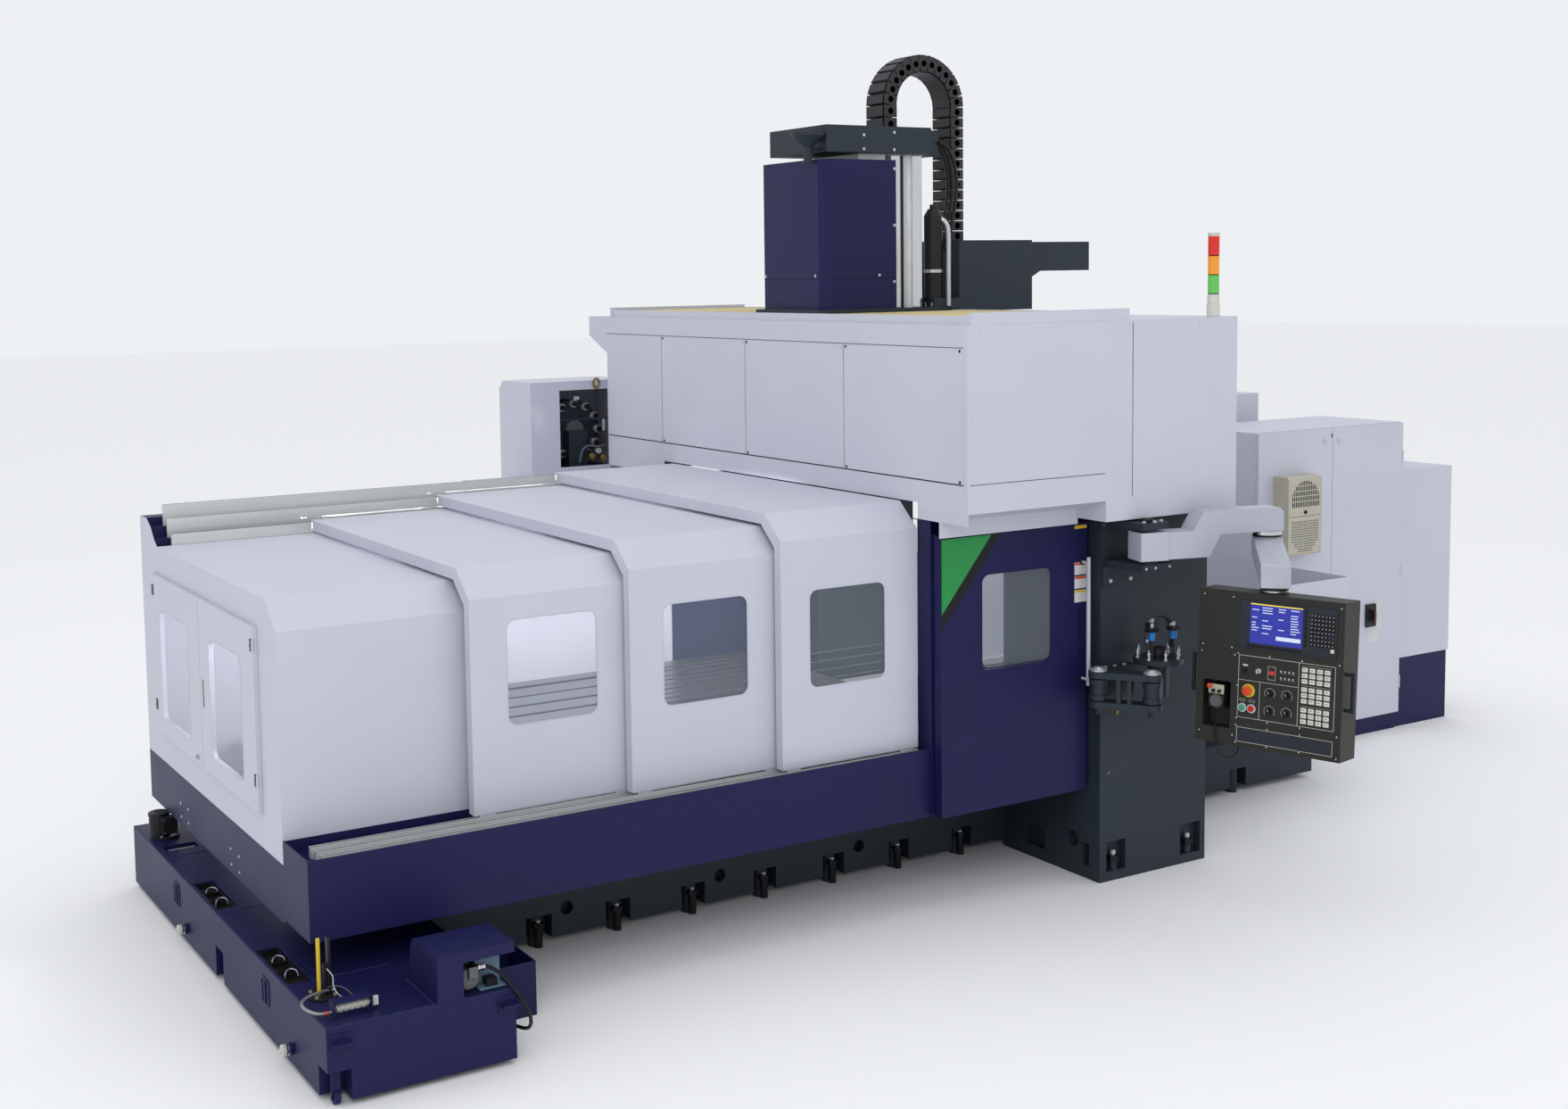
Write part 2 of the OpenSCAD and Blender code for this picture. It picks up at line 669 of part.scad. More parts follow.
// Blue sheet cover on the head
module head_cover() {
  color([0.17, 0.18, 0.34]) {
    difference() {
      translate([0, 0, 2990])
        linear_extrude(head_top - 2990)
          polygon([
            [-338, 115], [-338, -445], [-294, -500], [162, -500], [162, 115]
          ]);
      translate([0, 0, 2980])
        linear_extrude(head_top - 2986)
          polygon([
            [-332, 109], [-332, -443], [-291, -494], [163, -494], [163, 109]
          ]);
      bx([ram_x0 - 1, 170], [ram_y0 - 1, ram_y1 + 1], [3900, head_top + 1]);
    }
    // Webs that hold the cover on the ram
    for (z = [3100, 3500, 3860]) {
      bx([-333, ram_x0], [-440, 110], [z, z + 10]);
      bx([ram_x0, 150], [-495, ram_y0], [z, z + 10]);
    }
  }
}
// Plate on top of the ram, with a filling funnel in front of it
module top_plate() {
  color([0.24, 0.27, 0.32]) {
    difference() {
      bx([-300, 600], [-480, 100], [3980, 4130]);
      bx([430, 601], [-481, -330], [3979, 4131]);
      bx([-260, 230], [-440, 60], [4020, 4131]);
    }
    difference() {
      union() {
        translate([-372, -400, 4010]) cylinder(d1 = 60, d2 = 190, h = 60);
        translate([-372, -400, 4070]) cylinder(d = 190, h = 14);
        translate([-372, -400, 3920]) cylinder(d = 50, h = 92);
        bx([-372, -299], [-412, -388], [3985, 4008]);
      }
      translate([-372, -400, 4014]) cylinder(d1 = 50, d2 = 182, h = 57);
      translate([-372, -400, 4070]) cylinder(d = 182, h = 20);
    }
  }
}
// Energy chain in one arc from the ram's plate to the chain box
module drag_chain() {
  r = 245;
  cx = 555;
  cz = 4280;
  h = 55;
  w = 90;
  y0 = head_y - 90;
  color([0.26, 0.26, 0.27]) {
    difference() {
      translate([cx, y0 + 2 * w, cz]) rotate([90, 0, 0]) cylinder(r = r + h, h = 2 * w);
      translate([cx, y0 + 2 * w + 1, cz]) rotate([90, 0, 0]) cylinder(r = r - h, h = 2 * w + 2);
      bx([cx - 400, cx + 400], [y0 - 1, y0 + 2 * w + 1], [cz - 400, cz]);
    }
    bx([cx - r - h, cx - r + h], [y0, y0 + 2 * w], [4130, cz]);
    bx([cx + r - h, cx + r + h], [y0, y0 + 2 * w], [3486, cz]);
  }
}
// Tower light on the corner of the beam cover
module tower_light() {
  color([0.85, 0.84, 0.80]) {
    rod([1270, -1850], 70, cover_top, cover_top + 70);
    rod([1270, -1850], 64, cover_top + 70, cover_top + 120);
    rod([1270, -1850], 60, cover_top + 120, cover_top + 440);
    rod([1270, -1850], 64, cover_top + 440, cover_top + 450);
  }
}

// Tool magazine beside the far column
module magazine_housing() {
  color([0.80, 0.81, 0.85])
    difference() {
      along_x(-890, -150)
        polygon([
          [2200, 1950], [2200, 2600], [2650, 2600], [2710, 2540], [2710, 1950]
        ]);
      along_x(-885, -155)
        polygon([
          [2205, 1940], [2205, 2595], [2648, 2595], [2705, 2538], [2705, 1940]
        ]);
      bx([-674, -303], [2190, 2210], [2014, 2539]);
    }
}
module magazine_drum() {
  color([0.24, 0.28, 0.31]) {
    translate([-488, 2500, 2250]) rotate([90, 0, 0]) cylinder(d = 420, h = 110);
    bx([-560, -416], [2300, 2560], [2000, 2250]);
    bx([-760, -250], [2230, 2690], [1950, 2000]);
  }
}
module magazine_stand() {
  color([0.80, 0.81, 0.85]) {
    difference() {
      union() {
        bx([-1300, 100], [wall_y1 + 50, 2430], [1600, 1950]);
        bx([-890, -150], [2400, 2710], [1600, 1950]);
      }
      bx([-1190, -10], [1410, 2290], [1599, 1935]);
    }
    difference() {
      bx([-1200, 0], [1400, 2300], [0, 1601]);
      bx([-1190, -10], [1410, 2290], [-1, 1590]);
    }
  }
}

// Main electrical cabinet, open at the front behind its doors, with the
// lower cabinet beside it and the taller one behind it
module main_cabinet() {
  color([0.82, 0.83, 0.86]) {
    difference() {
      bx([cab_x0, cab_x1], [cab_y0, cab_y1], [plinth, cabinet_top]);
      bx([cab_x0 + cab_t, cab_x1 - cab_t], [cab_y0 - 1, cab_y1 - cab_t],
         [plinth + cab_t, cabinet_top - cab_t]);
    }
    difference() {
      bx([cab_x1 + fit, cab_x2], [cab_y0 + 13, cab_y1], [500, cabinet_low]);
      bx([cab_x1 + 15, cab_x2 - 15], [cab_y0 + 28, cab_y1 - 15], [499, cabinet_low - 15]);
    }
    difference() {
      bx([cab_x0 + 10, cab_x0 + 960], [cab_y1 + 150, cab_y1 + 800],
         [plinth, cabinet_top + 186]);
      bx([cab_x0 + 25, cab_x0 + 945], [cab_y1 + 165, cab_y1 + 785],
         [plinth - 1, cabinet_top + 171]);
    }
    bx([cab_x0 + 210, cab_x0 + 410], [cab_y1, cab_y1 + 150], [150, 300]);
  }
}
// Blue plinths and the duct from the bed's end
module cabinet_plinth() {
  color([0.17, 0.18, 0.34]) {
    bx([bed_x1, cab_x0], [-330, 290], [130, 450]);
    difference() {
      union() {
        bx([cab_x0 + 10, cab_x1], [cab_y0 + 10, cab_y1 - 10], [0, plinth]);
        bx([cab_x1, cab_x2 - 10], [cab_y0 + 23, cab_y1 - 10], [0, 500]);
        bx([cab_x0 + 15, cab_x0 + 955], [cab_y1 + 155, cab_y1 + 795], [0, plinth]);
      }
      bx([cab_x0 + 25, cab_x1 - 15], [cab_y0 + 25, cab_y1 - 25], [-1, plinth - 15]);
      bx([cab_x1 + 15, cab_x2 - 25], [cab_y0 + 38, cab_y1 - 25], [-1, 485]);
      bx([cab_x0 + 30, cab_x0 + 940], [cab_y1 + 170, cab_y1 + 780], [-1, plinth - 15]);
    }
  }
}
// Cabinet door between two edges, with its hinge barrels
module cabinet_leaf(x, hinge) {
  color([0.82, 0.83, 0.86]) {
    bx(x, [cab_y0 - cab_t, cab_y0 - fit], [plinth + 5, cabinet_top - 5]);
    for (z = [300, 1100, cabinet_top - 290])
      rod([hinge, cab_y0 - cab_t], 14, z, z + 90);
  }
}
module cabinet_door_left() {
  cabinet_leaf([cab_x0 + 3, cab_seam - 2], cab_x0 + 3);
}
module cabinet_door_right() {
  cabinet_leaf([cab_seam + 2, cab_x1 - 3], cab_x1 - 3);
}
// Cooling unit on the left door: a shallow box with sloped upper front
module cabinet_cooler() {
  color([0.80, 0.77, 0.70])
    along_x(3337, 3658)
      polygon([
        [cab_y0 - cab_t, 1374], [-548, 1374], [-560, 1386], [-560, 1892],
        [-548, 1904], [cab_y0 - cab_t, 1904]
      ]);
}
// Coolant tank in front of the bed's end, on wheels in its corners
module tank() {
  color([0.16, 0.17, 0.33]) {
    difference() {
      union() {
        bx([tank_x0, bed_x0 - fit], [tank_y0, 1117], [25, tank_z]);
        bx([tank_x0, tank_x1], [tank_y0, -bed_half - 20], [25, tank_z]);
      }
      difference() {
        union() {
          bx([tank_x0 + 6, bed_x0 - 6], [tank_y0 + 6, 1111], [31, tank_z - 6]);
          bx([tank_x0 + 6, tank_x1 - 6], [tank_y0 + 6, -bed_half - 26], [31, tank_z - 6]);
        }
        // Walls round the wheel recesses and under the hatch trays
        bx([-3860, -3755], [-2088, -1975], [30, 160]);
        bx([-3860, -3780], [-620, -480], [30, 180]);
        for (h = hatches)
          bx([h[0] - 5, h[1] + 6], [h[2] - 6, h[3] + 6], [300, 332]);
      }
      bx([-3863, -3761], [-2090, -1981], [24, 154]);
      bx([-3863, -3786], [-614, -486], [24, 174]);
      for (h = hatches)
        bx([h[0], h[1]], [h[2], h[3]], [306, 338]);
    }
    for (p = [[-3812, -2035], [-3824, -550], [-3300, 1000], [-3120, -2000]]) {
      translate([p[0] - 12, p[1], 30]) rotate([0, 90, 0]) cylinder(d = 60, h = 24);
      bx([p[0] - 20, p[0] + 20], [p[1] - 8, p[1] + 8], [20, p[0] < -3500 ? 175 : 60]);
    }
    // Guard over the hose's end
    bx([-3801 + fit, -3794], [-2012, -1952], [tank_z - 1, 402]);
    bx([-3640, -3634], [-2012, -1952], [tank_z - 1, 402]);
    bx([-3801 + fit, -3634], [-2012, -1952], [398, 403]);
    // Drain stubs on the end face
    for (y = [-1640, 30])
      translate([tank_x0 - 38, y, 95]) rotate([0, 90, 0]) cylinder(d = 46, h = 39);
  }
}
// Cover of the chip conveyor's drive: rounded behind, open at its corner
module conveyor_hood() {
  color([0.16, 0.17, 0.33])
    difference() {
      along_x(-3385, tank_x1) hood_side(0);
      along_x(-3380, tank_x1 - 5) hood_side(5);
      bx([-3268, tank_x1 + 1], [tank_y0 - 1, -2060], [tank_z - 1, 487]);
      bx([-3060, tank_x1 + 1], [tank_y0 - 1, -1930], [tank_z - 1, 487]);
    }
}
module hood_side(t) {
  polygon(concat(
    [[tank_y0 + t, tank_z - t / 5], [tank_y0 + t, 532 - t], [-1826 - t, 532 - t]],
    [for (a = [10:16:90])
      [-1826 - t + 50 * sin(a), 532 - t - (195 - t) * (1 - cos(a))]],
    [[-1776 - t, tank_z - t / 5]]
  ));
}
// Bucket beside the tank
module chip_bucket() {
  color([0.16, 0.17, 0.33])
    difference() {
      bx([tank_x1 + fit, -2745], [-1670, -1370], [0, 250]);
      bx([tank_x1 + 6, -2751], [-1664, -1376], [6, 251]);
    }
}
// Coolant pump under the guard's end band, with its terminal box
module tank_pump() {
  color([0.12, 0.12, 0.13]) {
    rod([-3762, 828], 150, tank_z, tank_z + 14);
    rod([-3786, 846], 104, tank_z + 13, 452);
    rod([-3786, 846], 112, 451, 470);
    bx([-3792, -3712], [752, 806], [368, 458]);
    // Level gauge's flange and post, with the hose fitting
    rod([-3757, -1745], 142, tank_z, tank_z + 9);
    bx([-3753, -3737], [-1752, -1736], [tank_z + 8, 472]);
    bx([-3704 + fit, -3692], [-1765, -1740], [tank_z + 8, 368]);
    // Conveyor's motor with its cable gland
    translate([-3228, -1905, 397]) rotate([90, 0, 0]) cylinder(d = 96, h = 140);
    bx([-3262, -3194], [-2020, -1920], [tank_z, 366]);
    bx([-3236, -3192], [-2068, -2030], [400, 452]);
    translate([-3193, -2049, 435]) rotate([0, 90, 0]) cylinder(d = 26, h = 15 - fit);
  }
}

// Brackets on the near column that carry the pendant's arm and the link
module arm_brackets() {
  color([0.22, 0.26, 0.29])
    difference() {
      union() {
        bx([600, 820], [arm_p[1] - 70, -column_out], [1728, 1768]);
        bx([580, 800], [-column_out - 18, -column_out], [1630, 1729]);
        bx([610, 790], [arm_p[1] - 60, -column_out], [1948, 1984]);
        rod(arm_p, 120, 1767, 1778);
        rod(arm_p, 116, 1937, 1949);
        // Knuckle between the plates of the swing link
        rod(link_p, 96, 1036, 1062);
        rod(link_p, 84, 1061, 1120);
        rod(link_p, 96, 1119, 1148);
        bx([506, 760], [link_p[1] + 10, -column_out], [1040, 1144]);
        bx([585, 800], [link_p[1] + 25, -column_out], [1143, 1185]);
      }
      translate([arm_p[0], arm_p[1], 1700]) cylinder(d = 50 + 2 * fit, h = 300);
      translate([link_p[0], link_p[1], 1000]) cylinder(d = 36 + 2 * fit, h = 200);
    }
}
// A level bar between two pivots
module bar(p, q, w, z0, z1) {
  d = [q[0] - p[0], q[1] - p[1]];
  translate([p[0], p[1], z0])
    rotate([0, 0, atan2(d[1], d[0])])
      translate([0, -w / 2, 0]) cube([norm(d), w, z1 - z0]);
}
// A side view drawn along the line from p to q, given a width
module plate_between(p, q, w) {
  d = [q[0] - p[0], q[1] - p[1]];
  translate([p[0], p[1], 0])
    rotate([0, 0, atan2(d[1], d[0])])
      translate([0, w / 2, 0])
        rotate([90, 0, 0]) linear_extrude(w) children();
}
// Upper arm: box section that steps up halfway
module pendant_arm() {
  l = norm(arm_q - arm_p);
  color([0.70, 0.72, 0.77]) {
    rod(arm_p, 50, 1735, 1990);
    difference() {
      union() {
        plate_between(arm_p, arm_q, 130)
          polygon([
            [-60, arm_low[0]], [0.47 * l, arm_low[0]], [0.56 * l, arm_high[0]],
            [l + 60, arm_high[0]], [l + 60, arm_high[1] - 22], [l + 38, arm_high[1]],
            [0.42 * l, arm_high[1]], [0.335 * l, arm_low[1]], [-60, arm_low[1]]
          ]);
        plate_between(arm_p, arm_q, 140)
          translate([-66, arm_low[0] - 4])
            square([160, arm_low[1] - arm_low[0] + 7]);
      }
      translate([arm_q[0], arm_q[1], 1880]) cylinder(d = 50 + 2 * fit, h = 110);
    }
  }
}
// Lower arm: box section that slopes down to the panel's neck
module pendant_arm_2() {
  l = norm(neck_p - arm_q);
  color([0.70, 0.72, 0.77]) {
    rod(arm_q, 50, 1850, 1982);
    rod(arm_q, 150, 1868, arm_high[0] - fit);
    difference() {
      plate_between(arm_q, neck_p, 146)
        polygon([
          [-76, 1762], [-76, 1884], [l + 66, 1806], [l + 78, 1794], [l + 78, 1684]
        ]);
      translate([neck_p[0], neck_p[1], 1660]) cylinder(d = 46 + 2 * fit, h = 110);
    }
  }
}
// Places a part in the panel's own frame: x right, y down, z out
module on_panel() {
  translate([pan_x, pan_y, pan_z])
    rotate([0, 0, pan_turn])
      rotate([90 - pan_tilt, 0, 0])
        mirror([0, 1, 0]) children();
}
module pendant() {
  color([0.22, 0.22, 0.20]) {
    difference() {
      on_panel() translate([0, 0, -180]) cube([panel_w, panel_h, 180]);
      on_panel() translate([216, 36, -8]) cube([520, 248, 9]);
      on_panel() translate([226, 690, -3]) cube([506, 78, 4]);
      on_panel() translate([38, 470, -90]) cube([150, 240, 91]);
    }
    rod(neck_p, 46, 1600, 1760);
    rod(neck_p, 140, 1600, 1684 - fit);
    // Gland of the hand wheel's cord
    on_panel()
      translate([wheel_path[17][0], panel_h - 1, wheel_path[17][2]])
        rotate([-90, 0, 0]) cylinder(d = 16, h = wheel_path[17][1] - fit - panel_h + 1);
  }
}
module pendant_screen() {
  color([0.08, 0.09, 0.10])
    on_panel() translate([216 + fit, 36 + fit, -8]) cube([520 - 2 * fit, 248 - 2 * fit, 10]);
}
// Bow handles on the panel's sides and the hand wheel's box in its recess
module pendant_handles() {
  color([0.12, 0.12, 0.13]) {
    for (x = [-36, panel_w + 36])
      on_panel() {
        translate([x, 345, -40]) rotate([-90, 0, 0]) cylinder(d = 20, h = 200);
        for (y = [356, 534])
          translate([x < 0 ? x : panel_w + fit, y, -40])
            rotate([0, 90, 0]) cylinder(d = 17, h = 36 - fit);
      }
    on_panel() translate([74, 488, -90 + fit]) cube([84, 122 - fit, 102]);
  }
}
// Lower swing link: two plates and two webs round its end knuckles
module swing_link() {
  d = link_q - link_p;
  color([0.22, 0.26, 0.29]) {
    for (z = [link_z[0], link_z[2]])
      difference() {
        union() {
          bar(link_p, link_q, 96, z, z + 35);
          rod(link_p, 104, z, z + 35.5);
          rod(link_q, 104, z, z + 35.5);
        }
        translate([link_q[0], link_q[1], z - 1]) cylinder(d = 36 + 2 * fit, h = 40);
      }
    for (t = [0.36, 0.56])
      bar(link_p + t * d, link_p + (t + 0.08) * d, 88, link_z[1] - 1, link_z[2] + 1);
    rod(link_p, 36, 960, 1206);
  }
}
// Second link with the round carrier for hand tools
module swing_tray() {
  color([0.20, 0.23, 0.26]) {
    rod(link_q, 36, 960, 1206);
    rod(link_q, 96, 1036, 1062);
    rod(link_q, 84, 1061, 1120);
    rod(link_q, 96, 1119, 1148);
    bar(link_q, tray_p, 70, 1040, 1144);
    rod(tray_p, 110, 1036, 1217);
    difference() {
      rod(tray_p, 260, 1216, 1244);
      for (a = [0:40:320])
        rod([tray_p[0] + 104 * cos(a), tray_p[1] + 104 * sin(a)], 22, 1215, 1245);
    }
    // Frame of the clamps on the carrier
    for (a = [70, 200, 320]) {
      c = [tray_p[0] + 78 * cos(a), tray_p[1] + 78 * sin(a)];
      rod(c, 16, 1243, 1440);
      bx([c[0] - 30, c[0] + 30], [c[1] - 22, c[1] + 22], [1392, 1412]);
    }
  }
}

// Round hose along a list of points: a ring of eight at each
module tube(p, d) {
  n = len(p);
  t = [for (i = [0:n - 1]) p[min(i + 1, n - 1)] - p[max(i - 1, 0)]];
  u = [for (v = t) let (w = cross(v, [0.13, 0.21, 1])) w / norm(w)];
  v = [for (i = [0:n - 1]) cross(t[i], u[i]) / norm(cross(t[i], u[i]))];
  polyhedron(
    points = [for (i = [0:n - 1], k = [0:7])
      p[i] + d / 2 * (cos(45 * k) * u[i] + sin(45 * k) * v[i])],
    faces = concat(
      [[for (k = [0:7]) k]],
      [for (i = [0:n - 2], k = [0:7]) let (a = 8 * i, b = (k + 1) % 8)
        [a + k, a + 8 + k, a + 8 + b, a + b]],
      [[for (k = [7:-1:0]) 8 * (n - 1) + k]]
    )
  );
}
module tank_hose() {
  color([0.5, 0.5, 0.5]) tube(hose_path, 13);
}
module conveyor_cable() {
  color([0.1, 0.1, 0.1]) tube(cable_path, 16);
}
module wheel_cord() {
  color([0.1, 0.1, 0.1]) on_panel() tube(wheel_path, 9);
}

bed();
guide_rails();
column_near();
column_far();
crossbeam();
beam_cover();
slat_cover_near();
slat_cover_far();
hood_rails();
guard_trough();
far_wall();
far_ledge();
end_panel();
door_portal();
rear_guard();
tower_light();
magazine_housing();
magazine_drum();
magazine_stand();
main_cabinet();
cabinet_plinth();
tank();
conveyor_hood();
chip_bucket();
tank_pump();
arm_brackets();
table();
hood_1();
hood_1_pane();
hood_2();
hood_2_pane();
hood_3();
hood_3_pane();
operator_door();
door_pane();
door_handle();
end_door_near();
end_near_pane();
end_door_far();
end_far_pane();
saddle();
chain_box();
accumulator();
drag_chain();
ram();
head_cover();
top_plate();
pendant_arm();
pendant_arm_2();
pendant();
pendant_screen();
pendant_handles();
swing_link();
swing_tray();
cabinet_door_left();
cabinet_door_right();
cabinet_cooler();
tank_hose();
conveyor_cable();
wheel_cord();
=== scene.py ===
# %% [markdown]
# # A double column bridge mill, dressed for its picture
#
# The CAD model gives the frame: every body, joint and main surface. This
# script adds the finishes and the small pieces that a CAD model leaves out:
# screws, seams, keys, hoses, slats and chain links. Lengths are in metres.

# %% Imports and the CAD pieces
import json
import math

import bpy
import numpy as np
from mathutils import Matrix, Vector

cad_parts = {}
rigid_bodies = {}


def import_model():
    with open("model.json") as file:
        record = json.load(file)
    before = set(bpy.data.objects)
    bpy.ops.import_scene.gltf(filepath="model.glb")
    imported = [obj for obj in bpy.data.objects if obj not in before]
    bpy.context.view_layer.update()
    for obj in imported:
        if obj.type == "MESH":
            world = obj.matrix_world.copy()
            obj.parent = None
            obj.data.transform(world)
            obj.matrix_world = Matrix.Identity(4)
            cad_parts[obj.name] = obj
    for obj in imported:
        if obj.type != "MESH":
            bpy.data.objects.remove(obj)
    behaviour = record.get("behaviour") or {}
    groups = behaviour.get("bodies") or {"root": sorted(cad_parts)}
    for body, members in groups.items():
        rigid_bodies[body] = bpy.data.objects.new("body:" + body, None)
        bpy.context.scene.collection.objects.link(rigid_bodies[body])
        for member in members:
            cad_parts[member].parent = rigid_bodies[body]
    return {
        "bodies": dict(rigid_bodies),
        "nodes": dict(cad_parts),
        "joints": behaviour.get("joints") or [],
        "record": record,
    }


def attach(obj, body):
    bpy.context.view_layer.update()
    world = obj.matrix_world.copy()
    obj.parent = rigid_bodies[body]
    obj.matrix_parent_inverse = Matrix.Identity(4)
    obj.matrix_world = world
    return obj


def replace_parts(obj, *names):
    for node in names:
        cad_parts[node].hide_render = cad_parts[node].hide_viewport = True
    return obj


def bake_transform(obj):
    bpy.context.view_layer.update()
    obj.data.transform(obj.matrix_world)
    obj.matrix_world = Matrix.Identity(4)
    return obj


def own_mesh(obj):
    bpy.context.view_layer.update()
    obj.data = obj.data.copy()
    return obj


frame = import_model()
scene = bpy.context.scene
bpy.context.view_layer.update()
CAD = frame["nodes"]

# %% [markdown]
# ## The camera
#
# The camera was fitted to the photograph from the machine's straight edges.
# It looks 60 degrees from the X axis and 5 degrees down, rolled by one degree.
# Its three axes go into a matrix, because that states the fit exactly.

# %% The camera
EYE = (-6.07, -8.849, 3.3)
yaw, pitch, roll = math.radians(59.653), math.radians(5.01), math.radians(-0.909)
level = math.cos(pitch)
forward = Vector((level * math.cos(yaw), level * math.sin(yaw), -math.sin(pitch)))
side = forward.cross(Vector((0, 0, 1))).normalized()
top = side.cross(forward)
right = math.cos(roll) * side + math.sin(roll) * top
up = math.cos(roll) * top - math.sin(roll) * side

camera = bpy.data.objects.new("camera", bpy.data.cameras.new("camera"))
scene.collection.objects.link(camera)
camera.data.sensor_width = 36
camera.data.lens = 41.45
camera.data.shift_x = 0.0561
camera.data.shift_y = -0.0764
camera.data.clip_end = 200
turned = Matrix((right, up, -forward)).transposed().to_4x4()
camera.matrix_world = Matrix.Translation(EYE) @ turned
scene.camera = camera
print("camera at", tuple(camera.matrix_world.translation), "lens", camera.data.lens)

# %% [markdown]
# ## Finishes
#
# Painted sheet, cast iron and plastic differ in gloss and in fine texture. They
# could come from photographs, but noise from nodes needs no files and shows no
# seams. A small wrapper lets shader arithmetic read like ordinary arithmetic:
# adding or multiplying two `Val` objects makes the math node and its links.

# %% Finishes
class Val:
    """An output socket that takes part in sums and products, such as 1 - mask."""

    def __init__(self, tree, socket):
        self.tree = tree
        self.socket = socket

    def math(self, operation, first, second):
        return make(self.tree, "Math", {"operation": operation}, {0: first, 1: second})

    def __add__(self, other):
        return self.math("ADD", self, other)

    def __sub__(self, other):
        return self.math("SUBTRACT", self, other)

    def __rsub__(self, other):
        return self.math("SUBTRACT", other, self)

    def __mul__(self, other):
        return self.math("MULTIPLY", self, other)

    __radd__ = __add__
    __rmul__ = __mul__


def wire(tree, slot, value):
    """Links a Val to the slot, or sets the slot to a number, vector or colour."""
    if isinstance(value, Val):
        tree.links.new(value.socket, slot)
    elif isinstance(value, (tuple, list)) and len(slot.default_value) == 4:
        slot.default_value = (*value, 1)
    else:
        slot.default_value = value


def make(tree, kind, settings, inputs, out=0):
    """One node: its settings come first, then its sockets by name or number."""
    node = tree.nodes.new("ShaderNode" + kind)
    for name, value in settings.items():
        setattr(node, name, value)
    for name, value in inputs.items():
        wire(tree, node.inputs[name], value)
    return Val(tree, node.outputs[out])


def linear(rgb):
    """Screen colour, 0 to 255, to the linear values that shaders use."""
    return tuple((c / 255 / 12.92) if c < 10 else ((c / 255 + 0.055) / 1.055) ** 2.4 for c in rgb)


def finish(rgb, rough, metal=0.0, cloud=0.06, peel=0.04, size=900,
           stretch=(1, 1, 1), edge=0.002, glow=0.0, alpha=1.0, shine=0.3):
    """A painted, plastic or metal finish: a slow change of tone, a fine surface
    texture, and edges that catch the light as if they were rounded."""
    material = bpy.data.materials.new("finish")
    material.use_nodes = True
    tree = material.node_tree
    surface = tree.nodes["Principled BSDF"]
    point = make(tree, "TexCoord", {}, {}, "Object")
    place = make(tree, "Mapping", {}, {"Vector": point, "Scale": stretch})
    slow = make(tree, "TexNoise", {}, {"Vector": place, "Scale": 2.2, "Detail": 5.0})
    fine = make(tree, "TexNoise", {}, {"Vector": place, "Scale": float(size), "Detail": 2.0})
    patch = make(tree, "MapRange", {"interpolation_type": "SMOOTHSTEP"},
                 {"Value": slow, "From Min": 0.3, "From Max": 0.7})
    base = linear(rgb)
    dark = tuple(c * (1 - cloud) for c in base)
    light = tuple(min(1, c * (1 + cloud)) for c in base)
    colour = make(tree, "Mix", {"data_type": "RGBA"}, {0: patch, 6: dark, 7: light}, 2)
    wire(tree, surface.inputs["Base Color"], colour)
    wire(tree, surface.inputs["Roughness"], slow * 0.12 + (rough - 0.06))
    surface.inputs["Metallic"].default_value = metal
    surface.inputs["Alpha"].default_value = alpha
    surface.inputs["Specular IOR Level"].default_value = shine
    relief = {"Strength": peel, "Distance": 0.002, "Height": fine}
    if edge:
        relief["Normal"] = make(tree, "Bevel", {"samples": 4}, {"Radius": edge})
    wire(tree, surface.inputs["Normal"], make(tree, "Bump", {}, relief))
    if glow:
        surface.inputs["Emission Color"].default_value = (*base, 1)
        surface.inputs["Emission Strength"].default_value = glow
    return material


def plain(rgb, rough, **more):
    """A finish for small parts, which need no texture and no rounded edge."""
    return finish(rgb, rough, peel=0, edge=0, **more)


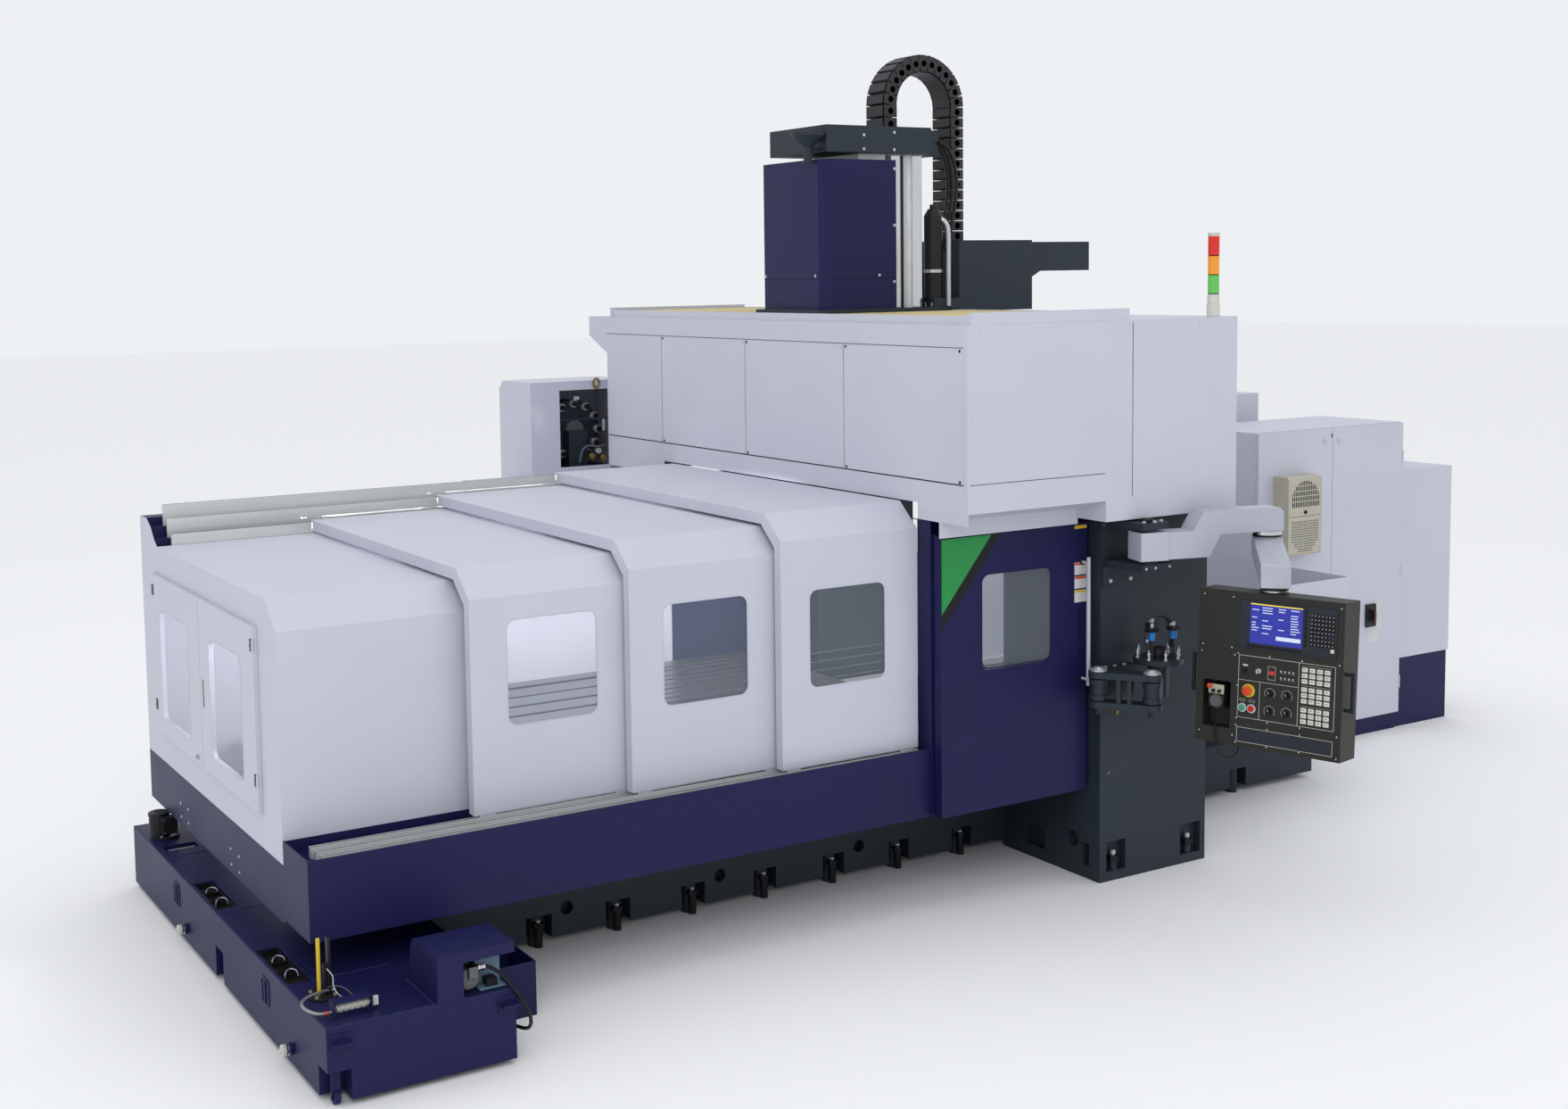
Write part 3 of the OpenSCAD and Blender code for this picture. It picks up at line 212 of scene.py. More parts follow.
M = dict(
    casting_paint=finish((38, 47, 56), 0.5, peel=0.1, size=350),
    white_sheet=finish((198, 200, 212), 0.5, cloud=0.015, peel=0.03),
    blue_sheet=finish((25, 27, 72), 0.45, cloud=0.05, edge=0.003, shine=0.22),
    guide_steel=finish((212, 215, 213), 0.3, metal=0.3, stretch=(0.25, 5, 5)),
    table_iron=finish((128, 131, 136), 0.3, metal=0.85, cloud=0.08, stretch=(0.25, 5, 5)),
    arm_silver=finish((184, 187, 199), 0.42, metal=0.15, peel=0.12, size=260),
    hose_braid=finish((150, 152, 156), 0.4, metal=0.7, peel=0.6, size=420),
    slat_cream=finish((205, 190, 138), 0.5, edge=0),
    dark_plastic=finish((24, 25, 27), 0.42),
    chain_plastic=finish((50, 50, 53), 0.5, peel=0.1),
    pendant_paint=finish((42, 42, 38), 0.55, peel=0.2, size=420),
    screen=finish((38, 43, 52), 0.35, peel=0, edge=0.001),
    window=plain((190, 200, 212), 0.08, alpha=0.1, shine=0.5),
    cooler_paint=finish((190, 186, 170), 0.5),
    lamp_plastic=finish((206, 204, 196), 0.35),
    # Finishes for the small pieces
    steel=plain((190, 192, 196), 0.28, metal=0.6),
    chrome=plain((205, 206, 208), 0.15, metal=1.0),
    seam=plain((104, 106, 118), 0.8),
    seam_dark=plain((20, 21, 30), 0.8),
    seam_blue=plain((54, 58, 104), 0.7),
    black=plain((15, 15, 17), 0.45),
    black_paint=finish((22, 22, 24), 0.35, edge=0.001),
    grey=plain((92, 94, 98), 0.5),
    plate_blue=finish((98, 122, 138), 0.5),
    head_blue=finish((27, 28, 76), 0.45, edge=0.003, shine=0.22),
    key_white=plain((214, 212, 202), 0.5),
    line_white=plain((196, 196, 188), 0.6),
    beige=plain((188, 182, 164), 0.5),
    brass=plain((150, 122, 66), 0.35, metal=0.8),
    red=plain((196, 40, 30), 0.35),
    orange_red=plain((214, 74, 34), 0.35),
    yellow=plain((216, 184, 44), 0.4),
    green=plain((40, 140, 70), 0.4),
    jade=plain((60, 150, 128), 0.35),
    lcd_blue=plain((44, 52, 150), 0.3, glow=0.35),
    lcd_white=plain((200, 206, 226), 0.3, glow=0.35),
    lcd_yellow=plain((226, 206, 60), 0.3, glow=0.35),
    amber=plain((228, 146, 48), 0.25, glow=0.15),
    lamp_red=plain((208, 46, 42), 0.25, glow=0.15),
    lamp_green=plain((96, 182, 88), 0.25, glow=0.15),
    cylinder_blue=plain((26, 118, 196), 0.3),
    wrap_white=finish((206, 204, 198), 0.8, peel=0.6, size=300),
    paper=plain((206, 206, 204), 0.8),
    floor=plain((250, 250, 250), 0.95, cloud=0.0),
)
for name, material in M.items():
    material.name = name
SLOT = {part["node"]: part["material_slot"] for part in frame["record"]["subparts"]}
for node, piece in CAD.items():
    piece.data.materials.clear()
    piece.data.materials.append(M[SLOT[node]])
print(len(M), "finishes on", len(CAD), "CAD pieces")

# %% [markdown]
# ## Building pieces from numbers
#
# A `Shape` gathers vertices and faces as arrays, each with a finish, and turns
# them into one object that rides on a body of the machine. Its points can be
# given in a frame of their own, such as the plane of a door. The same pieces
# could be modelled by hand, but numbers are easy to check against the photo.

# %% Helpers for new pieces
WORLD = ((0, 0, 0), (1, 0, 0), (0, 1, 0), (0, 0, 1))


def facing_near(y):
    """Frame of a wall that faces -Y: across is X, up is Z."""
    return (0, y, 0), (1, 0, 0), (0, 0, 1), (0, -1, 0)


def facing_end(x):
    """Frame of a wall that faces -X: across is Y, up is Z."""
    return (x, 0, 0), (0, 1, 0), (0, 0, 1), (-1, 0, 0)


class Shape:
    """Vertices, faces and finishes of one piece, gathered part by part."""

    def __init__(self, frame=WORLD):
        self.points = []
        self.faces = []
        self.tints = []
        self.count = 0
        self.move(frame)

    def move(self, frame):
        """Later points are given in this frame: its origin and three axes."""
        self.origin = np.array(frame[0], float)
        self.axes = np.array(frame[1:], float)
        self.mirrored = np.linalg.det(self.axes) < 0

    def add(self, points, faces, tint):
        points = np.asarray(points, float).reshape(-1, 3) @ self.axes + self.origin
        self.points.append(points)
        for face in faces:
            face = tuple(int(i) + self.count for i in face)
            self.faces.append(face[::-1] if self.mirrored else face)
        self.tints += [tint] * len(faces)
        self.count += len(points)

    def box(self, low, high, tint, chamfer=0.0):
        """A box whose twelve edges are cut back by the chamfer."""
        low, high = np.minimum(low, high).astype(float), np.maximum(low, high).astype(float)
        chamfer = min(chamfer, 0.45 * float((high - low).min()))
        if chamfer <= 0:
            return self.prism(rectangle(*low[:2], *high[:2]), low[2], high[2], tint)
        # Vertex 3 * k + a is corner k of the box, kept outermost along axis a
        points = []
        for k in range(8):
            side = np.array([(k >> a) & 1 for a in range(3)])
            outer = np.where(side, high, low)
            inner = outer + np.where(side, -chamfer, chamfer)
            for a in range(3):
                p = inner.copy()
                p[a] = outer[a]
                points.append(p)
        faces = []
        for a in range(3):
            b, c = (a + 1) % 3, (a + 2) % 3
            for s in (0, 1):
                ring = [(s << a) | (i << b) | (j << c) for i, j in ((0, 0), (1, 0), (1, 1), (0, 1))]
                quad = [3 * k + a for k in ring]
                faces.append(quad if s else quad[::-1])
            for i in (0, 1):
                for j in (0, 1):
                    k0 = (i << b) | (j << c)
                    k1 = k0 | (1 << a)
                    quad = [3 * k0 + b, 3 * k1 + b, 3 * k1 + c, 3 * k0 + c]
                    faces.append(quad if i != j else quad[::-1])
        for k in range(8):
            tri = [3 * k, 3 * k + 1, 3 * k + 2]
            faces.append(tri if bin(k).count("1") % 2 else tri[::-1])
        self.add(points, faces, tint)

    def rings(self, rows, tint, closed=False):
        """Skin over rings with the same number of points, capped at both ends."""
        rows = np.array(rows, float)
        count, sides = rows.shape[:2]
        faces = []
        for k in range(count if closed else count - 1):
            m = (k + 1) % count
            for i in range(sides):
                j = (i + 1) % sides
                faces.append((k * sides + i, k * sides + j, m * sides + j, m * sides + i))
        if not closed:
            faces.append(tuple(range(sides))[::-1])
            faces.append(tuple(range((count - 1) * sides, count * sides)))
        self.add(rows.reshape(-1, 3), faces, tint)

    def lathe(self, start, end, profile, tint, sides):
        """Turned shape: a circle for each (distance along, radius) pair, centred
        at the start plus that distance along the axis."""
        start, end = np.array(start, float), np.array(end, float)
        axis = (end - start) / np.linalg.norm(end - start)
        u = np.cross(axis, [0, 0, 1] if abs(axis[2]) < 0.9 else [1, 0, 0])
        u /= np.linalg.norm(u)
        v = np.cross(axis, u)
        turn = np.linspace(0, 2 * np.pi, sides, endpoint=False)
        circle = np.cos(turn)[:, None] * u + np.sin(turn)[:, None] * v
        self.rings([start + axis * d + circle * max(r, 1e-5) for d, r in profile], tint)

    def turned(self, x, y, z, profile, tint, sides=20):
        """A turned shape standing at (x, y, z), with its profile in millimetres."""
        metres = [(d / 1000, r / 1000) for d, r in profile]
        self.lathe((x, y, z), (x, y, z + 1), metres, tint, sides)

    def post(self, x, y, z0, z1, radius, tint, sides, chamfer=0.0):
        """A rod that stands on the frame's plane, from z0 to z1."""
        self.rod((x, y, z0), (x, y, z1), radius, tint, sides, chamfer)

    def rod(self, start, end, radius, tint, sides, chamfer=0.0):
        length = float(np.linalg.norm(np.subtract(end, start)))
        c = min(chamfer, radius * 0.5, length * 0.4)
        profile = [(0, radius), (length, radius)]
        if c:
            profile = [(0, radius - c), (c, radius), (length - c, radius), (length, radius - c)]
        self.lathe(start, end, profile, tint, sides)

    def tube(self, path, radius, tint, sides, closed=False):
        """Round tube: a circle across the path at each point. Its first direction
        is carried on from the point before, so that the tube doesn't twist."""
        path = np.array(path, float)
        tangent = np.gradient(path, axis=0)
        if closed:
            tangent = np.roll(path, -1, axis=0) - np.roll(path, 1, axis=0)
        tangent /= np.linalg.norm(tangent, axis=1)[:, None]
        u = np.cross(tangent[0], [0.3, 0.2, 0.9])
        turn = np.linspace(0, 2 * np.pi, sides, endpoint=False)
        rows = []
        for p, t in zip(path, tangent):
            u = u - t * np.dot(u, t)
            u /= np.linalg.norm(u)
            v = np.cross(t, u)
            rows.append(p + radius * (np.cos(turn)[:, None] * u + np.sin(turn)[:, None] * v))
        self.rings(rows, tint, closed)

    def prism(self, outline, low, high, tint):
        """A flat outline in the frame's plane, raised from low to high."""
        outline = np.array(outline, float)
        x, y = outline.T
        if np.sum(x * np.roll(y, -1) - np.roll(x, -1) * y) < 0:
            outline = outline[::-1]
        self.rings([[(a, b, c) for a, b in outline] for c in (low, high)], tint)

    def band(self, outer, inner, low, high, tint):
        """A flat ring between two outlines that run the same way round."""
        rows = []
        for outline, c in ((outer, low), (outer, high), (inner, high), (inner, low)):
            rows.append([(a, b, c) for a, b in outline])
        self.rings(rows, tint, closed=True)

    def strip(self, x0, y0, x1, y1, tint, high=0.0012):
        """A thin flat piece on the frame's plane."""
        self.box((x0, y0, 0), (x1, y1, high), tint)

    def edging(self, x0, y0, x1, y1, tint):
        """A thin rim round a rounded opening: 4 mm outside it and 1 mm inside."""
        self.band(rounded(x0 - 0.004, y0 - 0.004, x1 + 0.004, y1 + 0.004, 0.049),
                  rounded(x0 + 0.001, y0 + 0.001, x1 - 0.001, y1 - 0.001, 0.044), 0.0, 0.0012, tint)

    def screws(self, places, tint, radius, height=0.003, base=0.0):
        """Low domed heads standing on the frame's plane."""
        for a, b in places:
            dome = [(0, radius), (0.5 * height, radius), (height, 0.55 * radius)]
            self.lathe((a, b, base), (a, b, base + 1), dome, tint, 10)

    def build(self, name, body=None):
        mesh = bpy.data.meshes.new(name)
        mesh.from_pydata(np.concatenate(self.points).tolist(), [], self.faces)
        tints = sorted(set(self.tints))
        for tint in tints:
            mesh.materials.append(M[tint])
        mesh.polygons.foreach_set("material_index", [tints.index(t) for t in self.tints])
        mesh.update()
        mesh.polygons.foreach_set("use_smooth", [True] * len(mesh.polygons))
        mesh.set_sharp_from_angle(angle=math.radians(35))
        piece = bpy.data.objects.new(name, mesh)
        scene.collection.objects.link(piece)
        if body:
            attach(piece, body)
        print(name, len(mesh.polygons), "faces")
        return piece


def rounded(x0, y0, x1, y1, r, steps=6):
    """Rounded rectangle: a quarter circle about each corner's centre."""
    turn = np.linspace(0, np.pi / 2, steps)
    corners = ((x1 - r, y0 + r, -np.pi / 2), (x1 - r, y1 - r, 0),
               (x0 + r, y1 - r, np.pi / 2), (x0 + r, y0 + r, np.pi))
    return [(cx + r * math.cos(a + t), cy + r * math.sin(a + t))
            for cx, cy, a in corners for t in turn]


def rectangle(x0, y0, x1, y1):
    return [(x0, y0), (x1, y0), (x1, y1), (x0, y1)]


def around(x, y, radius, degrees):
    """Points on a circle: centre + radius * (cos, sin) of each angle."""
    turn = np.radians(degrees)
    return list(zip(x + radius * np.cos(turn), y + radius * np.sin(turn)))


def through(points, per=4):
    """A smooth line through the points, in metres from millimetres. Each span is
    the cubic whose slope at a point is half the step between its neighbours."""
    p = np.array(points, float) / 1000
    p = np.concatenate([[2 * p[0] - p[1]], p, [2 * p[-1] - p[-2]]])
    line = []
    for a, b, c, d in zip(p, p[1:], p[2:], p[3:]):
        for t in np.arange(per) / per:
            line.append(0.5 * (2 * b + (c - a) * t + (2 * a - 5 * b + 4 * c - d) * t**2
                               + (3 * b - 3 * c + d - a) * t**3))
    return np.array(line + [p[-2]])


def length_of(path):
    """The sum of the straight steps along a path."""
    return float(np.linalg.norm(np.diff(path, axis=0), axis=1).sum())


print("a metre measures", length_of(through([(0, 0, 0), (1000, 0, 0)])))

# %% [markdown]
# ## Hose, cable and cord
#
# The three flexible lines follow the same points as their CAD pieces. The
# tank's hose leaves the fitting at the level gauge and ends in the guard
# bracket. The conveyor's cable runs from its gland round the tank's corner.
# The hand wheel's cord hangs from its box and goes up into the panel's gland.
# A bevelled curve would also do, but a skinned tube keeps the stated length.

# %% The three cords
lean, face = math.radians(-72.6), math.radians(86.5)
# The panel's frame: its top left corner, then across, down and out of the face
PANEL = (
    (0.857, -2.172, 1.652),
    (math.cos(lean), math.sin(lean), 0),
    (math.cos(face) * math.sin(lean), -math.cos(face) * math.cos(lean), -math.sin(face)),
    (math.sin(face) * math.sin(lean), -math.sin(face) * math.cos(lean), math.cos(face)),
)
HOSE = [
    (-3704, -1752, 356), (-3728, -1752, 356), (-3749, -1765, 364), (-3768, -1780, 369),
    (-3787, -1795, 374), (-3806, -1809, 378), (-3827, -1822, 381), (-3847, -1836, 383),
    (-3866, -1851, 384), (-3882, -1870, 385), (-3893, -1891, 385), (-3900, -1914, 384),
    (-3899, -1938, 381), (-3889, -1960, 376), (-3872, -1975, 369), (-3850, -1983, 363),
    (-3825, -1984, 360), (-3801, -1984, 360),
]
CABLE = [
    (-3178, -2049, 435), (-3149, -2049, 435), (-3123, -2059, 423), (-3102, -2072, 407),
    (-3085, -2084, 387), (-3069, -2095, 365), (-3054, -2104, 341), (-3039, -2110, 317),
    (-3024, -2113, 291), (-3009, -2113, 266), (-2995, -2111, 241), (-2983, -2105, 215),
    (-2972, -2096, 189), (-2964, -2082, 165), (-2958, -2063, 143), (-2955, -2041, 124),
    (-2954, -2016, 110), (-2957, -1988, 101), (-2965, -1960, 98), (-2982, -1937, 102),
    (-3006, -1918, 110), (-3035, -1918, 110),
]
WHEEL_CORD = [
    (122, 610, -4), (122, 634, -4), (122, 657, 4), (121, 679, 11), (119, 703, 16), (118, 726, 18),
    (118, 750, 17), (119, 774, 15), (121, 797, 10), (124, 819, 3), (130, 839, -8), (139, 856, -23),
    (151, 868, -39), (165, 873, -58), (179, 867, -76), (189, 852, -91), (196, 830, -98),
    (196, 806, -98),
]


def line(name, node, points, diameter, tint, body, stiffness, frame=WORLD):
    path = through(points) @ np.array(frame[1:], float) + np.array(frame[0], float)
    skin = Shape()
    skin.tube(path, diameter / 2, tint, 16)
    piece = skin.build(name, body)
    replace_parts(piece, node)
    print(name, "is", round(length_of(path), 4), "m long")


line("hose", "tank_hose", HOSE, 0.013, "hose_braid", "machine", "medium")
line("motor_cable", "conveyor_cable", CABLE, 0.016, "black", "machine", "medium")
line("hand_wheel_cord", "wheel_cord", WHEEL_CORD, 0.009, "black", "pendant", "limp", PANEL)

# %% [markdown]
# ## Cable chain and slat covers
#
# The chain rises from the box behind the head, loops over and comes down on
# the ram's top plate. On the machine, when the ram goes down, the loop follows
# by half, so the fixed leg shortens and the moving leg grows. One link is made
# by a function and repeated, as on the real chain.

# %% The energy chain
CHAIN_Y = (-0.255, -0.075)
LOOP_X, LOOP_Z, LOOP_R = 0.555, 4.28, 0.245
LEG_FOOT, PLATE_TOP, PITCH = 3.486, 4.13, 0.062
LOOP_LINKS = 13


def link(shape, centre, along, outward, length):
    """One chain link: a flat body, two slats and a round joint on each side."""
    cross = np.cross(along, outward)
    shape.move((centre, outward, cross, along))
    half = (CHAIN_Y[1] - CHAIN_Y[0]) / 2
    shape.box((-0.04, 0.006 - half, -length / 2 + 0.003), (0.04, half - 0.006, length / 2 - 0.003),
              "chain_plastic", 0.003)
    for x in (-0.052, 0.044):
        shape.box((x, 0.012 - half, 0.008 - length / 2),
                  (x + 0.008, half - 0.012, length / 2 - 0.004), "chain_plastic", 0.002)
    for y in (-1, 1):
        shape.box((-0.046, y * (half - 0.005), -length / 2 + 0.002),
                  (0.046, y * half, length / 2 - 0.002), "chain_plastic", 0.002)
        shape.rod((0, y * (half - 0.004), 0), (0, y * half, 0), 0.019, "black", 12)


def leg(x, z0, z1, outward):
    """Links of about 62 mm, one above the other."""
    count = max(1, round((z1 - z0) / PITCH))
    shape = Shape()
    for k in range(count):
        z = z0 + (k + 0.5) * (z1 - z0) / count
        link(shape, (x, sum(CHAIN_Y) / 2, z), (0, 0, 1), (outward, 0, 0), (z1 - z0) / count)
    return shape


fixed_leg = leg(LOOP_X + LOOP_R, LEG_FOOT, LOOP_Z, 1).build("chain_fixed_leg", "saddle")
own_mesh(fixed_leg)

loop = Shape()
for k in range(LOOP_LINKS):
    turn = (k + 0.5) * math.pi / LOOP_LINKS
    outward = (math.cos(turn), 0, math.sin(turn))
    centre = (LOOP_X + LOOP_R * outward[0], sum(CHAIN_Y) / 2, LOOP_Z + LOOP_R * outward[2])
    link(loop, centre, (-outward[2], 0, outward[0]), outward, 0.066)
loop = loop.build("chain_loop")
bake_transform(loop)

moving_leg = leg(LOOP_X - LOOP_R, PLATE_TOP, LOOP_Z, -1).build("chain_moving_leg")
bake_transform(moving_leg)
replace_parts(loop, "drag_chain")

# %% [markdown]
# The covers on the crossbeam fold like a fan of flat slats. One end is fixed
# to the beam's cover and the other follows the head. Each slat is a box of its
# own, set at an even step between the two ends.

# %% The slat covers
SLAT_X = (-0.394, 0.579)
SLAT_LOW = 3.052


def slats(name, node, y0, y1, count):
    """Even slats on a dark band, each a little higher or lower than the next."""
    pitch = (y1 - y0) / count
    cover = Shape()
    rng = np.random.default_rng(count)
    cover.box((SLAT_X[0] + 0.02, y0, 3.046), (SLAT_X[1] - 0.02, y1, SLAT_LOW), "seam_dark")
    for k in range(count):
        y = y0 + k * pitch
        top = 3.078 + 0.004 * rng.random()
        cover.box((SLAT_X[0], y + 0.04 * pitch, SLAT_LOW), (SLAT_X[1], y + 0.8 * pitch, top),
                  "slat_cream", 0.004)
        cover.box((SLAT_X[0] + 0.004, y + 0.8 * pitch, SLAT_LOW),
                  (SLAT_X[1] - 0.004, y + 1.04 * pitch, top - 0.018), "seam_dark")
    piece = cover.build(name)
    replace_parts(piece, node)
    return piece


near_cover = slats("slats_near", "slat_cover_near", -1.87, -0.518, 21)
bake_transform(near_cover)
far_cover = slats("slats_far", "slat_cover_far", 0.136, 1.868, 27)
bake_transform(far_cover)

# %% [markdown]
# ## Hoods and doors
#
# Each pane sits behind a rounded opening, and four thin guard wires run behind
# it. The CAD model has the openings and panes, so a thin rim is enough here.
# The operator's door also has a bare triangular plate, labels and a grip.

# %% Hood windows and the operator door
LOW, HIGH = 1.252, 1.743
WIRE_DEPTH = -0.03
panes = (("hood_1", -2.706, -2.246, -1.356), ("hood_2", -1.925, -1.453, -1.43),
         ("hood_3", -1.134, -0.675, -1.504))
for body, x0, x1, y in panes:
    trim = Shape(facing_near(y))
    trim.edging(x0, LOW, x1, HIGH, "white_sheet")
    for k in range(4):
        z = LOW + 0.03 + 0.045 * k
        trim.rod((x0 - 0.02, z, WIRE_DEPTH), (x1 + 0.02, z, WIRE_DEPTH), 0.003, "grey", 8)
    trim.box((x0 - 0.02, LOW - 0.02, WIRE_DEPTH), (x0 - 0.012, HIGH, -0.012), "white_sheet")
    trim.build(body + "_window_trim", body)

door = Shape(facing_near(-1.649))
door.edging(-0.162, LOW, 0.302, HIGH, "head_blue")
door.prism([(-0.424, 1.95), (-0.424, 1.562), (-0.1, 1.95)], 0.0002, 0.0016, "green")
door.prism([(-0.424, 1.562), (-0.424, 1.479), (-0.037, 1.95), (-0.1, 1.95)], 0.0002, 0.0016,
           "black")
door.box((0.468, 1.93, 0.0002), (0.552, 1.948, 0.0016), "yellow")
for k, tint in enumerate(("orange_red", "orange_red", "yellow")):
    z = 1.748 - 0.074 * k
    door.box((0.468, z - 0.066, 0.0002), (0.552, z, 0.0012), "paper")
    door.box((0.47, z - 0.014, 0.0012), (0.55, z - 0.002, 0.0018), tint)
for z in (1.12, 1.75):
    door.turned(0.521, z, 0, [(0, 17), (5, 17), (6, 13)], "head_blue")
door.build("door_trim", "operator_door")

grip = Shape(facing_near(-1.7))
for z in (1.085, 1.781):
    grip.rod((0.521, z, 0), (0.521, z + 0.004, 0), 0.0112, "black", 20)
grip.rod((0.521, 1.092, 0), (0.521, 1.778, 0), 0.0113, "arm_silver", 24)
grip.build("door_grip", "operator_door")

# %% [markdown]
# The end wall: black hinge plates, the latch slot, a round lock and the screws
# of the band below. Pieces a millimetre high are enough from seven metres away.

# %% The end doors
for body, y0, y1, hinge, toward in (("end_door_near", -0.75, -0.225, -0.961, 1),
                                    ("end_door_far", 0.165, 0.712, 0.866, -1)):
    leaf = Shape(facing_end(-3.77))
    leaf.edging(y0, 1.01, y1, 1.595, "white_sheet")
    for z in (1.035, 1.655):
        leaf.box((hinge + toward * 0.012, z, 0), (hinge + toward * 0.04, z + 0.056, 0.004),
                 "black_paint", 0.001)
        middle = hinge + toward * 0.028
        leaf.screws([(middle, z + 0.014), (middle, z + 0.042)], "steel", 0.004, 0.002, 0.004)
    leaf.build(body + "_trim", body)

lower = Shape(facing_end(-3.748))
lower.screws([(0.515, 0.596), (0.372, 0.598), (0.51, 0.525), (0.37, 0.524),
              (-0.404, 0.6), (-0.538, 0.598), (-0.406, 0.523), (-0.541, 0.521)],
             "steel", 0.008, 0.004)
lower.build("end_screws", "machine")
latch = Shape(facing_end(-3.7702))
latch.strip(-0.11, 1.232, -0.094, 1.372, "brass", 0.001)
latch.box((-0.106, 1.236, 0.001), (-0.098, 1.368, 0.0014), "black")
latch.build("end_latch", "end_door_near")
lock = Shape(facing_end(-3.7702))
lock.post(0.04, 0.955, 0, 0.01, 0.014, "steel", 20, 0.002)
lock.box((0.038, 0.947, 0.01), (0.042, 0.963, 0.012), "black")
lock.build("end_lock", "end_door_far")

# %% [markdown]
# ## Crossbeam cover
#
# Seams between its panels, the long joint under the top rail, and its screws. A
# seam is a thin dark strip by a pale one, which needs no cut in the CAD solid.

# %% The crossbeam cover
SEAMS = (1.16, 0.158, -0.846)
LEVEL_LOW, LEVEL_HIGH = 2.252, 2.925
skin = Shape(facing_end(-0.458))
for y in SEAMS:
    skin.strip(y - 0.0035, LEVEL_LOW, y + 0.0035, LEVEL_HIGH, "line_white")
    skin.strip(y - 0.005, LEVEL_LOW, y - 0.0035, LEVEL_HIGH, "seam", 0.0013)
skin.strip(-1.87, 2.926, 1.9, 2.93, "seam")
skin.strip(-1.87, 2.246, 1.895, 2.252, "seam_dark")
skin.strip(-1.871, 2.246, -1.866, 2.93, "line_white")
for z in (2.262, 2.912):
    skin.screws([(y - 0.024, z) for y in SEAMS] + [(-1.842, z)], "seam_dark", 0.008)
    skin.screws([(y + 0.018, z) for y in SEAMS], "white_sheet", 0.007)
skin.move(facing_near(-1.9))
skin.screws([(-0.374, 3.0), (-0.426, 2.892), (-0.427, 2.586), (-0.426, 2.277), (-0.372, 2.302)],
            "white_sheet", 0.008)
skin.screws([(x, 3.012) for x in (0.1, 0.62, 1.12)], "white_sheet", 0.008)
skin.strip(0.637, 2.12, 0.641, 3.03, "seam")
skin.strip(-0.44, 2.248, 0.45, 2.252, "seam")
skin.build("beam_seams", "machine")

# %% [markdown]
# ## Tower light
#
# Three coloured lenses between thin dark rings, on a pale foot. A faint glow in
# the finish stands for the lamps inside.

# %% The tower light
light = Shape()
rings = ((3.04, 3.11, 0.035, "lamp_plastic"), (3.11, 3.16, 0.032, "lamp_plastic"),
         (3.16, 3.165, 0.029, "black"), (3.165, 3.262, 0.03, "lamp_green"),
         (3.262, 3.267, 0.029, "black"), (3.267, 3.364, 0.03, "amber"),
         (3.364, 3.369, 0.029, "black"), (3.369, 3.47, 0.03, "lamp_red"),
         (3.47, 3.49, 0.032, "lamp_plastic"))
for z0, z1, r, tint in rings:
    light.post(1.27, -1.85, z0, z1, r, tint, 28, 0.002)
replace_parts(light.build("tower_lenses", "machine"), "tower_light")

# %% [markdown]
# ## Milling head
#
# The blue cover has one level seam and small screws. Bright guide strips run
# down the ram's near face beside it. Behind it stand a bent steel pipe and the
# hoses that go from the saddle up to the ram.

# %% The head and the saddle
head = Shape(facing_near(-0.5))
head.screws([(0.151, 3.891), (0.149, 3.572), (0.146, 3.252), (0.041, 3.29)], "steel", 0.009, 0.004)
head.strip(-0.294, 3.272, 0.16, 3.275, "seam_dark", 0.001)
head.move(facing_end(-0.338))
head.screws([(0.1, 3.292), (-0.414, 3.291)], "steel", 0.009, 0.004)
head.strip(-0.445, 3.272, 0.115, 3.275, "seam_dark", 0.001)
head.move(facing_near(-0.48))
head.screws([(-0.045, 4.078), (0.167, 4.097), (-0.046, 4.0), (0.166, 4.0)], "steel", 0.009, 0.004)
head.build("head_screws", "ram")

ram_strips = Shape(facing_near(-0.39))
for x0, x1, tint in ((0.172, 0.2, "grey"), (0.206, 0.268, "chrome"), (0.276, 0.288, "black"),
                     (0.292, 0.318, "steel"), (0.356, 0.424, "chrome")):
    ram_strips.box((x0, 2.3, 0), (x1, 3.975, 0.008), tint, 0.002)
ram_strips.build("ram_guide_strips", "ram")

nose = Shape()
nose.turned(0.205, -0.165, 2.06, [(0, 65), (20, 66), (30, 70), (90, 70)], "steel", 32)
for x, y in around(0.205, -0.165, 0.112, range(0, 360, 60)):
    nose.post(x, y, 2.143, 2.15, 0.012, "black", 12)
nose.build("spindle_bolts", "ram")

pipes = Shape()
pipes.tube(through([(560, -470, 3105), (560, -470, 3300), (560, -470, 3520), (552, -463, 3580),
                    (534, -446, 3608), (515, -425, 3618), (500, -405, 3640)]), 0.014, "steel", 14)
for k in range(3):
    x = 470 + 35 * k
    bent = through([(x, -330, 3150), (x, -345, 3200), (x + 6, -350, 3330)])
    pipes.tube(bent, 0.011, "black", 10)
for y in (-0.44, -0.38, -0.32, -0.26):
    pipes.post(0.47, y, 3.102, 3.126, 0.013, "steel", 12, 0.002)
pipes.post(0.5, -0.405, 3.3, 3.318, 0.0552, "steel", 32)
pipes.build("saddle_pipes", "saddle")

# %% [markdown]
# On the machine, the hoses over the ram follow its motion half way, like the chain.

# %% The ram hoses
for k, (y, bow) in enumerate(((-0.3, 0), (-0.322, 14.0), (-0.344, 30.0))):
    hose = Shape()
    route = ((590, 4060), (625 + bow, 4030), (668 + bow, 3960), (690 + bow, 3860),
             (688 + bow, 3740), (664 + bow, 3620), (640 + bow, 3520), (636, 3440))
    hose.tube(through([(x, 1000 * y, z) for x, z in route]), 0.01, "black", 10)
    hose = hose.build("ram_hose_" + str(k))
    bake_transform(hose)

